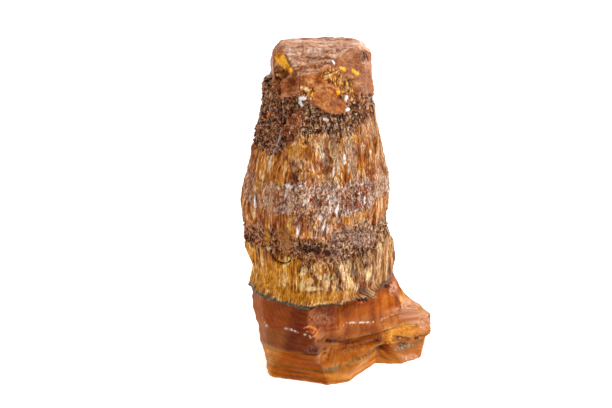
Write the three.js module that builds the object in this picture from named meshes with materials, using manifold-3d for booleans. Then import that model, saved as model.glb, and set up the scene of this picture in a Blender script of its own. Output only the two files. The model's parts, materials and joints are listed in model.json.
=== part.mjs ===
// A rough tiger's eye: one upright piece of stone, 60 mm tall, as broken from its seam.
// A tapering body of packed fibres carries a jasper cap on top and stands in a wider, layered jasper foot.
// Millimetres, +Z up, the front of the stone towards -Y. The bedding of the stone lies level.
//
// The stone is shaped as a knapper would shape it. The fibre body is a rounded many-sided column, lofted from
// the distances of its faces to its axis. The foot and the cap's plates are blocks struck flat by planes. All
// of them are joined, and then wedges and shell-shaped scoops are struck off.

import * as THREE from "three";
import { mergeVertices } from "three/addons/utils/BufferGeometryUtils.js";
import Module from "manifold-3d";

const wasm = await Module();
wasm.setup();

// Driving dimensions
const HEIGHT = 60; // floor to cap
const SEAM_HEIGHT = 13.8; // where the fibres start, above the jasper foot
const OVERLAP = 0.8; // how far the foot reaches up into the fibre body
const AXIS = { x: -3.2, y: 0.8 }; // the upright line that the fibre body is built round
const REACH = 120; // larger than the stone: the size of the cutting blocks

// The fibre body: for each face, its compass direction (0 is +X, 270 is the front) and its distance from the
// axis at each level.
const LEVELS = [13.8, 17.5, 21.5, 26, 30, 35, 41, 47, 51, 54, 57, 60.5];
const FACES = [
  { azimuth: 8, distances: [14.6, 14.6, 13.5, 13, 12.6, 12.5, 11.4, 10.8, 10.3, 9.9, 9.6, 9.4] },
  { azimuth: 326, distances: [9.6, 10, 10.3, 10.2, 10.2, 10.4, 9.7, 8.9, 8.5, 8.3, 8, 7.6] },
  { azimuth: 270, distances: [12, 11.8, 11.2, 10.7, 10.6, 10, 8.8, 7.6, 6.7, 6.1, 5.5, 4.8] },
  { azimuth: 227, distances: [10.9, 10.4, 10.8, 11.4, 11.6, 11, 9.8, 8.6, 8, 7.7, 7.4, 7] },
  { azimuth: 180, distances: [12.4, 11.6, 13.2, 14.2, 14.2, 12.9, 12.2, 11.4, 11.1, 10.4, 9.2, 8.8] },
  { azimuth: 128, distances: [11.2, 10.9, 11.3, 11.8, 12, 11.3, 10, 8.8, 8, 7.2, 6.4, 5.4] },
  { azimuth: 66, distances: [11.4, 11.2, 11.6, 11.4, 11.6, 11.2, 10, 8.9, 8, 7.1, 6, 4.6] },
];
const CORNER_SHARPNESS = 15; // higher is sharper between the faces
const BODY_SIDES = 92;
const BODY_ROWS = 34;

// Upright ribs of packed fibres: how many go round, how far they stand out, and how they wander with height.
const RIBS = [
  { count: 7, proud: 0.28, lean: 0.05, phase: 0.4 },
  { count: 13, proud: 0.2, lean: -0.09, phase: 2.1 },
  { count: 21, proud: 0.14, lean: 0.13, phase: 4.6 },
];
// Crumbled bands, where fibres have broken away across the seam. They are deepest at one azimuth.
const CRUMBLED_BANDS = [
  { height: 25.2, halfWidth: 2.6, depth: 0.45, azimuth: 285 },
  { height: 47.5, halfWidth: 3, depth: 0.5, azimuth: 262 },
];

// Planes: a point that each goes through, the azimuth it faces and how far it is tilted up from upright.
const FOOT_FACES = [
  { through: [-6, -11.5, 0], azimuth: 249, tilt: 1.5 }, // left front
  { through: [-3.3, -11.3, 13.8], azimuth: 249, tilt: 8 }, // left front, higher up
  { through: [-9, -8.3, 13.8], azimuth: 232, tilt: 10 }, // left front, upper left
  { through: [-11.6, -9.4, 0], azimuth: 210, tilt: 3 }, // narrow strip left of it
  { through: [-15.4, -3, 11.4], azimuth: 170, tilt: -20 }, // left side, leaning out over the floor
  { through: [-15.4, -3, 11.4], azimuth: 184, tilt: 9 }, // left side, above that lean
  { through: [-8.5, 8.5, 9], azimuth: 133, tilt: -8 }, // back left
  { through: [0, 12.6, 6], azimuth: 94, tilt: 3 }, // back
  { through: [10, 10.6, 7], azimuth: 52, tilt: 14 }, // back right
  { through: [17.3, 3.5, 6.8], azimuth: 2, tilt: -2 }, // right end
  { through: [2.9, -11.8, 0], azimuth: 306, tilt: 5 }, // right front
  { through: [-2.25, -12.7, 2.7], azimuth: 289, tilt: 13 }, // leading corner
];
// The slope from the fibres down to the right end is struck off the foot in two parts, the lower one flatter.
const FOOT_SLOPE = [
  { through: [12.2, 5, 9.2], azimuth: 345, tilt: 28 },
  { through: [15.9, 4.5, 7.3], azimuth: 345, tilt: 60 },
];
const CAP_FACES = [
  { through: [-2.6, 1.8, HEIGHT], azimuth: 90, tilt: 90 }, // top
  { through: [-4, -1.3, HEIGHT], azimuth: 266, tilt: 52 }, // front slope
  { through: [3, -1.5, HEIGHT], azimuth: 296, tilt: 17 }, // right front
  { through: [-10.7, 1, 59.4], azimuth: 186, tilt: 42 }, // left corner
  { through: [4.6, 1, 59.4], azimuth: 352, tilt: 46 }, // right corner
  { through: [-3, 4.6, HEIGHT], azimuth: 92, tilt: 35 }, // back slope
];
// Wedges struck off: what lies outside all planes of one wedge is gone.
const WEDGES = {
  leftShoulder: [
    { through: [-11.5, 0, 57], azimuth: 184, tilt: 3 },
    { through: [-12.2, 0, 53.6], azimuth: 190, tilt: 58 },
  ],
  splitSlab: [
    { through: [1.2, -9.6, 20], azimuth: 2, tilt: 2 },
    { through: [4, -7.2, 18], azimuth: 308, tilt: 2 },
    { through: [4, -8, 25], azimuth: 300, tilt: -55 },
    { through: [4, -8, SEAM_HEIGHT], azimuth: 300, tilt: 90 },
  ],
  darkPit: [
    { through: [-5, -8.8, 26.4], azimuth: 250, tilt: -55 },
    { through: [-5, -8.7, 25], azimuth: 272, tilt: -4 },
    { through: [-5, -8.8, 24.2], azimuth: 284, tilt: 48 },
    { through: [-7.7, -9, 25], azimuth: 335, tilt: 24 },
    { through: [-2, -9, 25], azimuth: 205, tilt: -22 },
  ],
  backSpall: [
    { through: [-8, 9.1, 30], azimuth: 121, tilt: 3 },
    { through: [-7, 10, 43], azimuth: 135, tilt: -66 },
    { through: [-7, 10, 21], azimuth: 110, tilt: 62 },
  ],
  recessLeft: [
    { through: [0, -7, 4], azimuth: 304, tilt: 66 },
    { through: [0.5, -7.4, SEAM_HEIGHT], azimuth: 303, tilt: -8 },
    { through: [-2.7, -11.5, 8.5], azimuth: 8, tilt: 22 },
    { through: [0, 0, SEAM_HEIGHT], azimuth: 270, tilt: -90 },
  ],
  recessRight: [
    { through: [0, -7, 4], azimuth: 304, tilt: 66 },
    { through: [9.2, 0, 5.5], azimuth: 311, tilt: 13 },
    { through: [15.3, 2, 6], azimuth: 200, tilt: 0 },
    { through: [-2.7, -11.5, 8.5], azimuth: 8, tilt: 22 },
    { through: [0, 0, SEAM_HEIGHT], azimuth: 270, tilt: -90 },
  ],
  hollow: [
    { through: [-1.6, -8.8, 6.6], azimuth: 300, tilt: -48 },
    { through: [-1.6, -8.8, 5.4], azimuth: 292, tilt: 56 },
    { through: [-4, -11, 6], azimuth: 25, tilt: 0 },
    { through: [1.4, -9, 6], azimuth: 215, tilt: 0 },
  ],
  rightStep: [
    { through: [17, 3, 2.9], azimuth: 0, tilt: -84 },
    { through: [16.1, 3, 2], azimuth: 355, tilt: -8 },
  ],
  notchLeft: [
    { through: [10, -1.5, 3.4], azimuth: 310, tilt: -84 },
    { through: [4.8, -7, 0], azimuth: 332, tilt: -6 },
    { through: [10, -1.5, 3.4], azimuth: 265, tilt: 24 },
  ],
  notchRight: [
    { through: [10, -1.5, 3.4], azimuth: 310, tilt: -84 },
    { through: [4.8, -7, 0], azimuth: 332, tilt: -6 },
    { through: [10, -1.5, 3.4], azimuth: 310, tilt: 36 },
  ],
};
// The crumbly ledge: a slice of the foot, left standing between these planes when the recess is struck out.
const CRUMBLY_LEDGE = [
  { through: [9.45, -1.8, 3.5], azimuth: 307, tilt: 42 },
  { through: [8, -2, 4.5], azimuth: 165, tilt: 10 },
  { through: [0, 0, 5.6], azimuth: 270, tilt: 90 },
  { through: [0, 0, 3.6], azimuth: 270, tilt: -90 },
];
// Scoops: middle, radii and turn about the upright. The shells have many sides and the struck pits have few.
const SCOOPS = [
  { middle: [-1.2, -12.9, 11.7], radii: [5.6, 4, 3.9], turn: 20, sides: 32 }, // arc below the seam, in front
  { middle: [-9.7, -3.6, 56.6], radii: [1.7, 1.6, 2.4], turn: 20, sides: 7 }, // yellow pit beside the cap
  { middle: [5, -1.6, 57.9], radii: [0.8, 1.1, 1.2], turn: 0, sides: 6 }, // small pit
  { middle: [1.9, -5.9, 54.8], radii: [2.3, 2.5, 2.9], turn: 25, sides: 9 }, // hollow beside the tongue
  { middle: [7, 16.2, 8], radii: [6.5, 6, 5.5], turn: -25, sides: 32 }, // shell on the back of the foot
];
// Jasper plates that stand proud of the body: outline across and up in the plate's own plane, the point its
// outer face goes through, the azimuth and tilt it faces, and its thickness.
const PLATES = [
  {
    outline: [-4.4, 3.2, -4.2, -0.4, -2.6, -1, -1, -2.6, 1.4, -3.9, 4.1, -3.7, 3.9, -1.4, 2.6, 1, 2.2, 3.6],
    through: [-2.4, -6.1, 53.2],
    azimuth: 276,
    tilt: 9,
    thickness: 2,
  }, // tongue
  {
    outline: [-1.5, 1.3, -1.3, -1.6, 0.2, -1.5, 1.5, -0.2, 1.4, 1.6],
    through: [-8.3, -5.5, 53.7],
    azimuth: 256,
    tilt: 9,
    thickness: 1.8,
  }, // block to the left of the tongue
  {
    outline: [-2, -2.6, -0.8, 0.2, 0.8, 2, 1.5, 1.4, 1.2, -0.4, -0.4, -2.5],
    through: [-8.2, -6.7, 47.6],
    azimuth: 247,
    tilt: 10,
    thickness: 1.8,
  }, // slanting shelf below that block
];

function direction(azimuth, tilt) {
  const around = THREE.MathUtils.degToRad(azimuth);
  const up = THREE.MathUtils.degToRad(tilt);
  return new THREE.Vector3(
    Math.cos(up) * Math.cos(around),
    Math.cos(up) * Math.sin(around),
    Math.sin(up),
  );
}

// A closed three.js geometry as a solid that can be joined and cut.
function solidFrom(geometry) {
  const bare = geometry.clone();
  bare.deleteAttribute("normal");
  bare.deleteAttribute("uv");
  const merged = mergeVertices(bare, 1e-4);
  return new wasm.Manifold(
    new wasm.Mesh({
      numProp: 3,
      vertProperties: merged.attributes.position.array,
      triVerts: new Uint32Array(merged.index.array),
    }),
  );
}

// Everything on the outer side of a plane through a point, facing an azimuth and a tilt above the horizon.
function outside({ through, azimuth, tilt }) {
  const outward = direction(azimuth, tilt);
  const block = new THREE.BoxGeometry(REACH, REACH, REACH);
  block.translate(0, 0, REACH / 2);
  block.applyQuaternion(
    new THREE.Quaternion().setFromUnitVectors(new THREE.Vector3(0, 0, 1), outward),
  );
  block.translate(...through);
  return solidFrom(block);
}

// What is struck off by a wedge: the space that is outside every one of its planes.
function wedge(planes) {
  return planes.map(outside).reduce((common, next) => common.intersect(next));
}

// An ellipsoid, turned about the upright.
function ellipsoid({ middle, radii, turn, sides }) {
  const ball = new THREE.SphereGeometry(1, sides, Math.round(sides * 0.6));
  ball.scale(...radii);
  ball.rotateZ(THREE.MathUtils.degToRad(turn));
  ball.translate(...middle);
  return solidFrom(ball);
}

// A plate with a bevelled rim, its outline laid in the plane that it faces out of.
function plateSolid({ outline, through, azimuth, tilt, thickness }) {
  const rim = 0.35;
  const shape = new THREE.Shape();
  for (let i = 0; i < outline.length; i += 2) {
    if (i === 0) shape.moveTo(outline[0], outline[1]);
    else shape.lineTo(outline[i], outline[i + 1]);
  }
  shape.closePath();
  const plate = new THREE.ExtrudeGeometry(shape, {
    depth: thickness,
    bevelThickness: rim,
    bevelSize: rim,
    bevelSegments: 2,
  });
  plate.translate(0, 0, -thickness - rim);
  const out = direction(azimuth, tilt);
  const across = new THREE.Vector3(0, 0, 1).cross(out).normalize();
  plate.applyMatrix4(new THREE.Matrix4().makeBasis(across, out.clone().cross(across), out));
  plate.translate(...through);
  return solidFrom(plate);
}

// A face's distance at a height, eased between the levels on both sides.
function distanceAt(distances, height) {
  const last = LEVELS.length - 1;
  const above = LEVELS.findIndex((level) => level > height);
  const i = above === -1 ? last - 1 : Math.max(above - 1, 0);
  const share = THREE.MathUtils.clamp((height - LEVELS[i]) / (LEVELS[i + 1] - LEVELS[i]), 0, 1);
  return THREE.MathUtils.lerp(distances[i], distances[i + 1], share);
}

// The column's radius: a rounded polygon with one side for each face, then the ribs and crumbled bands.
function bodyRadius(around, height) {
  let sum = 0;
  for (const face of FACES) {
    const facing = Math.cos(around - THREE.MathUtils.degToRad(face.azimuth));
    if (facing > 0) sum += (facing / distanceAt(face.distances, height)) ** CORNER_SHARPNESS;
  }
  let radius = sum ** (-1 / CORNER_SHARPNESS);
  for (const rib of RIBS) {
    radius += rib.proud * Math.cos(rib.count * around + rib.phase + rib.lean * height * Math.PI);
  }
  for (const band of CRUMBLED_BANDS) {
    const off = (height - band.height - Math.cos(2 * around + 1)) / band.halfWidth;
    const facing = 0.6 + 0.4 * Math.cos(around - THREE.MathUtils.degToRad(band.azimuth));
    radius -= band.depth * facing * Math.exp(-(off ** 4));
  }
  return radius;
}

// The fibre body as a closed loft: rings of points from the seam up, with a middle point at each end.
function fibreBody() {
  const points = [AXIS.x, AXIS.y, SEAM_HEIGHT];
  const top = LEVELS[LEVELS.length - 1];
  for (let row = 0; row <= BODY_ROWS; row++) {
    const height = THREE.MathUtils.lerp(SEAM_HEIGHT, top, row / BODY_ROWS);
    for (let side = 0; side < BODY_SIDES; side++) {
      const around = (side / BODY_SIDES) * 2 * Math.PI;
      const radius = bodyRadius(around, height);
      points.push(
        AXIS.x + radius * Math.cos(around),
        AXIS.y + radius * Math.sin(around),
        height,
      );
    }
  }
  points.push(AXIS.x, AXIS.y, top);
  const at = (row, side) => 1 + row * BODY_SIDES + (side % BODY_SIDES);
  const lastPoint = at(BODY_ROWS, BODY_SIDES - 1) + 1;
  const triangles = [];
  for (let side = 0; side < BODY_SIDES; side++) {
    triangles.push(0, at(0, side + 1), at(0, side));
    for (let row = 0; row < BODY_ROWS; row++) {
      const [a, b] = [at(row, side), at(row, side + 1)];
      const [c, d] = [at(row + 1, side + 1), at(row + 1, side)];
      triangles.push(a, b, c, a, c, d);
    }
    triangles.push(lastPoint, at(BODY_ROWS, side), at(BODY_ROWS, side + 1));
  }
  const geometry = new THREE.BufferGeometry();
  geometry.setAttribute("position", new THREE.Float32BufferAttribute(points, 3));
  geometry.setIndex(triangles);
  return solidFrom(geometry);
}

// The fibre body on its foot, with the plates joined on.
const footBlock = new THREE.BoxGeometry(40, 40, SEAM_HEIGHT + OVERLAP);
footBlock.translate(0, 0, (SEAM_HEIGHT + OVERLAP) / 2);
const foot = FOOT_FACES.reduce(
  (solid, plane) => solid.subtract(outside(plane)),
  solidFrom(footBlock),
).subtract(wedge(FOOT_SLOPE));
let stone = fibreBody().add(foot);
for (const plate of PLATES) stone = stone.add(plateSolid(plate));

// What is struck off it
for (const plane of CAP_FACES) stone = stone.subtract(outside(plane));
for (const planes of Object.values(WEDGES)) stone = stone.subtract(wedge(planes));
stone = stone.add(
  CRUMBLY_LEDGE.reduce((slice, plane) => slice.subtract(outside(plane)), foot),
);
for (const scoop of SCOOPS) stone = stone.subtract(ellipsoid(scoop));

const shape = stone.getMesh();
const geometry = new THREE.BufferGeometry();
geometry.setAttribute("position", new THREE.BufferAttribute(shape.vertProperties, 3));
geometry.setIndex(new THREE.BufferAttribute(shape.triVerts, 1));

// The middle of the stone's outline goes over the origin, and the floor stays at zero.
geometry.computeBoundingBox();
const middle = geometry.boundingBox.getCenter(new THREE.Vector3());
geometry.translate(-middle.x, -middle.y, 0);

const mesh = new THREE.Mesh(
  geometry,
  new THREE.MeshStandardMaterial({ color: 0xb07540, roughness: 0.45, metalness: 0 }),
);
mesh.name = "rough_tigers_eye";

const group = new THREE.Group();
group.add(mesh);
export default group;
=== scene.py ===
import json
import math

import bpy
import numpy as np
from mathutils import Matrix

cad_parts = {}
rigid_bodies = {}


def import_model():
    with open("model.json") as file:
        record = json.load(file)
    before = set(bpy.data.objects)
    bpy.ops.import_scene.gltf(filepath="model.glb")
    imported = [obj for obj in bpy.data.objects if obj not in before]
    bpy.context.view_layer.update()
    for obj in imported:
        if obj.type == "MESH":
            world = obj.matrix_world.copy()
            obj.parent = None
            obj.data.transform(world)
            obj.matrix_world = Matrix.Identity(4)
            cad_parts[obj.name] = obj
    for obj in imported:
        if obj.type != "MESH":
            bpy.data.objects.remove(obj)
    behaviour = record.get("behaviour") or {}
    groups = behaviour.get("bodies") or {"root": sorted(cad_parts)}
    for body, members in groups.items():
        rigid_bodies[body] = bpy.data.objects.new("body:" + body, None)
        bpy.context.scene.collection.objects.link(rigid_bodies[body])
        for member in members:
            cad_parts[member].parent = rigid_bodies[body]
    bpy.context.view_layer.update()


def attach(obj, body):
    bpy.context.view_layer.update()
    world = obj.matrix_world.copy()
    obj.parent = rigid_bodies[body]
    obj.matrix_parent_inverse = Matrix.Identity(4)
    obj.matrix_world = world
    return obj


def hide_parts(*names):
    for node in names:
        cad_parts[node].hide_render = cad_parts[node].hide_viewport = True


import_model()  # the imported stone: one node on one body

bodyName = "root"
nodeName = "rough_tigers_eye"
millimetre = 0.001

# The solid of the stone in millimetres, in the frame that it was drawn in. A plane is a point that it goes
# through, the azimuth it faces (0 is +X, 270 the front) and its tilt up from upright.
stone = {
    "drawnMiddle": (-0.095, 0.2322),  # middle of the drawn outline, which stands over the origin
    "seam": 13.8,  # the fibres start here, above the jasper foot
    "footTop": 14.6,
    "axis": (-3.2, 0.8),  # the upright line that the fibre body is built round
    "cornerSharpness": 15,
    "levels": (13.8, 17.5, 21.5, 26, 30, 35, 41, 47, 51, 54, 57, 60.5),
    "faces": {  # azimuth: distance from the axis at each level
        8: (14.6, 14.6, 13.5, 13, 12.6, 12.5, 11.4, 10.8, 10.3, 9.9, 9.6, 9.4),
        326: (9.6, 10, 10.3, 10.2, 10.2, 10.4, 9.7, 8.9, 8.5, 8.3, 8, 7.6),
        270: (12, 11.8, 11.2, 10.7, 10.6, 10, 8.8, 7.6, 6.7, 6.1, 5.5, 4.8),
        227: (10.9, 10.4, 10.8, 11.4, 11.6, 11, 9.8, 8.6, 8, 7.7, 7.4, 7),
        180: (12.4, 11.6, 13.2, 14.2, 14.2, 12.9, 12.2, 11.4, 11.1, 10.4, 9.2, 8.8),
        128: (11.2, 10.9, 11.3, 11.8, 12, 11.3, 10, 8.8, 8, 7.2, 6.4, 5.4),
        66: (11.4, 11.2, 11.6, 11.4, 11.6, 11.2, 10, 8.9, 8, 7.1, 6, 4.6),
    },
    "ribs": ((7, 0.28, 0.05, 0.4), (13, 0.2, -0.09, 2.1), (21, 0.14, 0.13, 4.6)),  # count, proud, lean, phase
    "crumbled": ((25.2, 2.6, 0.45, 285), (47.5, 3, 0.5, 262)),  # height, half width, depth, azimuth
    "footFaces": (
        (-6, -11.5, 0, 249, 1.5), (-3.3, -11.3, 13.8, 249, 8), (-9, -8.3, 13.8, 232, 10),
        (-11.6, -9.4, 0, 210, 3), (-15.4, -3, 11.4, 170, -20), (-15.4, -3, 11.4, 184, 9),
        (-8.5, 8.5, 9, 133, -8), (0, 12.6, 6, 94, 3), (10, 10.6, 7, 52, 14), (17.3, 3.5, 6.8, 2, -2),
        (2.9, -11.8, 0, 306, 5), (-2.25, -12.7, 2.7, 289, 13),
    ),
    "footSlope": ((12.2, 5, 9.2, 345, 28), (15.9, 4.5, 7.3, 345, 60)),
    "capFaces": (
        (-2.6, 1.8, 60, 90, 90), (-4, -1.3, 60, 266, 52), (3, -1.5, 60, 296, 17),
        (-10.7, 1, 59.4, 186, 42), (4.6, 1, 59.4, 352, 46), (-3, 4.6, 60, 92, 35),
    ),
    "wedges": (  # what lies outside all planes of a wedge is gone
        ((-11.5, 0, 57, 184, 3), (-12.2, 0, 53.6, 190, 58)),  # left shoulder
        ((1.2, -9.6, 20, 2, 2), (4, -7.2, 18, 308, 2), (4, -8, 25, 300, -55), (4, -8, 13.8, 300, 90)),  # slab
        ((-5, -8.8, 26.4, 250, -55), (-5, -8.7, 25, 272, -4), (-5, -8.8, 24.2, 284, 48),
         (-7.7, -9, 25, 335, 24), (-2, -9, 25, 205, -22)),  # dark pit
        ((-8, 9.1, 30, 121, 3), (-7, 10, 43, 135, -66), (-7, 10, 21, 110, 62)),  # spall on the back
        ((0, -7, 4, 304, 66), (0.5, -7.4, 13.8, 303, -8), (-2.7, -11.5, 8.5, 8, 22),
         (0, 0, 13.8, 270, -90)),  # recess, left part
        ((0, -7, 4, 304, 66), (9.2, 0, 5.5, 311, 13), (15.3, 2, 6, 200, 0), (-2.7, -11.5, 8.5, 8, 22),
         (0, 0, 13.8, 270, -90)),  # recess, right part
        ((-1.6, -8.8, 6.6, 300, -48), (-1.6, -8.8, 5.4, 292, 56), (-4, -11, 6, 25, 0),
         (1.4, -9, 6, 215, 0)),  # hollow under the leading corner
        ((17, 3, 2.9, 0, -84), (16.1, 3, 2, 355, -8)),  # step under the right end
        ((10, -1.5, 3.4, 310, -84), (4.8, -7, 0, 332, -6), (10, -1.5, 3.4, 265, 24)),  # notch
        ((10, -1.5, 3.4, 310, -84), (4.8, -7, 0, 332, -6), (10, -1.5, 3.4, 310, 36)),
    ),
    "crumblyLedge": ((9.45, -1.8, 3.5, 307, 42), (8, -2, 4.5, 165, 10), (0, 0, 5.6, 270, 90),
                     (0, 0, 3.6, 270, -90)),
    "scoops": (  # middle, radii and turn about the upright
        (-1.2, -12.9, 11.7, 5.6, 4, 3.9, 20), (-9.7, -3.6, 56.6, 1.6, 1.5, 2.3, 20),
        (5, -1.6, 57.9, 0.75, 1.05, 1.15, 0), (1.9, -5.9, 54.8, 2.2, 2.4, 2.8, 25),
        (7, 16.2, 8, 6.5, 6, 5.5, -25),
    ),
    "plates": (  # point, azimuth and tilt of the outer face, thickness, outline across and up
        ((-2.4, -6.1, 53.2), 276, 9, 2, (-4.4, 3.2, -4.2, -0.4, -2.6, -1, -1, -2.6, 1.4, -3.9, 4.1, -3.7,
                                         3.9, -1.4, 2.6, 1, 2.2, 3.6)),
        ((-8.3, -5.5, 53.7), 256, 9, 1.8, (-1.5, 1.3, -1.3, -1.6, 0.2, -1.5, 1.5, -0.2, 1.4, 1.6)),
        ((-8.2, -6.7, 47.6), 247, 10, 1.8, (-2, -2.6, -0.8, 0.2, 0.8, 2, 1.5, 1.4, 1.2, -0.4, -0.4, -2.5)),
    ),
}

# Colours of the stone, as red, green and blue from 0 to 255, each from its darkest shade to its lightest.
# Some of them are painted light rather than the stone's colour: the sheen shades, the hole and shadow shades and the
# glint shades.
shades = {
    "ochreFibre": ((78, 34, 2), (146, 78, 4), (192, 118, 12), (228, 164, 46), (254, 226, 148)),
    "darkLower": ((50, 20, 4), (108, 52, 16), (162, 92, 40), (212, 148, 90), (242, 204, 162)),
    "brownGold": ((96, 36, 4), (168, 78, 10), (208, 114, 24), (232, 158, 64), (250, 216, 162)),
    "sparkling": ((84, 28, 2), (152, 66, 10), (196, 108, 40), (232, 176, 124), (254, 240, 226)),
    "goldFibre": ((88, 34, 2), (160, 76, 6), (202, 114, 16), (228, 156, 52), (250, 218, 160)),
    "darkUpper": ((34, 16, 8), (84, 42, 18), (138, 80, 42), (192, 130, 80), (230, 186, 146)),
    "leftFibre": ((82, 36, 6), (132, 68, 16), (164, 96, 34), (194, 132, 68), (228, 186, 136)),
    "rightFibre": ((100, 48, 16), (158, 94, 46), (190, 130, 82), (218, 172, 128), (242, 214, 184)),
    "goldGlint": ((170, 88, 20), (214, 132, 40), (240, 176, 86)),
    "lilacGlint": ((120, 88, 76), (170, 138, 124), (212, 188, 174)),
    "whiteGlint": ((206, 176, 148), (238, 218, 200), (255, 248, 240)),
    "redGap": ((58, 24, 10), (96, 44, 16), (132, 68, 28)),
    "sheenTopJasper": ((138, 76, 46), (182, 126, 94), (204, 156, 128), (228, 196, 178)),
    "sheenRippleJasper": ((128, 78, 52), (184, 134, 104), (210, 166, 138), (242, 218, 200)),
    "warmJasper": ((104, 54, 30), (144, 88, 58), (168, 114, 82), (200, 152, 124)),
    "tongueBrown": ((122, 60, 26), (162, 92, 46), (186, 118, 68), (206, 148, 102)),
    "blockBrown": ((100, 46, 18), (140, 72, 34), (162, 92, 50), (190, 130, 92)),
    "redJasper": ((92, 34, 4), (134, 58, 8), (162, 80, 16), (190, 112, 42)),
    "purpleJasper": ((98, 42, 14), (138, 70, 26), (166, 96, 46), (192, 124, 72)),
    "ochreJasper": ((112, 52, 10), (162, 88, 28), (192, 116, 48), (218, 152, 84)),
    "lowOchre": ((112, 54, 12), (162, 92, 30), (194, 122, 52), (220, 158, 92)),
    "yellowLedge": ((120, 62, 16), (186, 112, 36), (222, 152, 62), (248, 200, 118)),
    "brightYellow": ((252, 138, 12), (255, 176, 36), (255, 216, 100)),
    "ochreMottle": ((44, 22, 10), (112, 62, 24), (178, 108, 40), (230, 178, 104)),
    "strawStreak": ((176, 124, 56), (214, 170, 98), (238, 208, 150)),
    "quartz": ((200, 186, 176), (238, 230, 226), (255, 252, 250)),
    "cream": ((206, 158, 92), (240, 206, 148), (252, 232, 192)),
    "jasperOrange": ((170, 74, 24), (212, 104, 42), (232, 142, 84)),
    "darkHole": ((34, 14, 8), (62, 30, 16), (110, 66, 44)),
    "greyLip": ((70, 56, 42), (112, 96, 78), (166, 146, 122)),
    "purpleShade": ((84, 42, 30), (116, 66, 48), (146, 92, 70)),
    "lilacWash": ((96, 62, 52), (150, 112, 98), (192, 158, 144), (226, 202, 192)),
    "smoothBrown": ((100, 54, 16), (148, 90, 36), (196, 138, 78)),
    "rustPatch": ((84, 34, 8), (146, 78, 28), (198, 134, 70), (236, 198, 150)),
    "purpleVein": ((104, 56, 38), (136, 84, 62)),
    "silver": ((150, 134, 122), (196, 182, 172), (232, 222, 216)),
    "darkCrack": ((48, 26, 14), (92, 56, 32)),
    "redHair": ((110, 34, 14), (140, 52, 26)),
    "orangeCurl": ((196, 100, 40), (236, 150, 84)),
    "whiteDots": ((176, 132, 112), (212, 186, 174), (246, 238, 232)),
    "greyStreak": ((80, 68, 46), (118, 102, 74), (150, 132, 100)),
    "paleFace": ((172, 106, 74), (210, 150, 116), (232, 182, 152)),
    "ledgeJasper": ((132, 70, 28), (164, 96, 46), (188, 122, 72)),
    "yellowFibre": ((140, 76, 4), (196, 124, 10), (232, 170, 48)),
    "tanFibre": ((140, 92, 58), (190, 142, 104), (226, 192, 160)),
    "redFibre": ((84, 30, 4), (136, 56, 8), (182, 96, 30)),
    "seamLine": ((58, 50, 40), (92, 84, 70), (150, 140, 124)),
}

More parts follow.
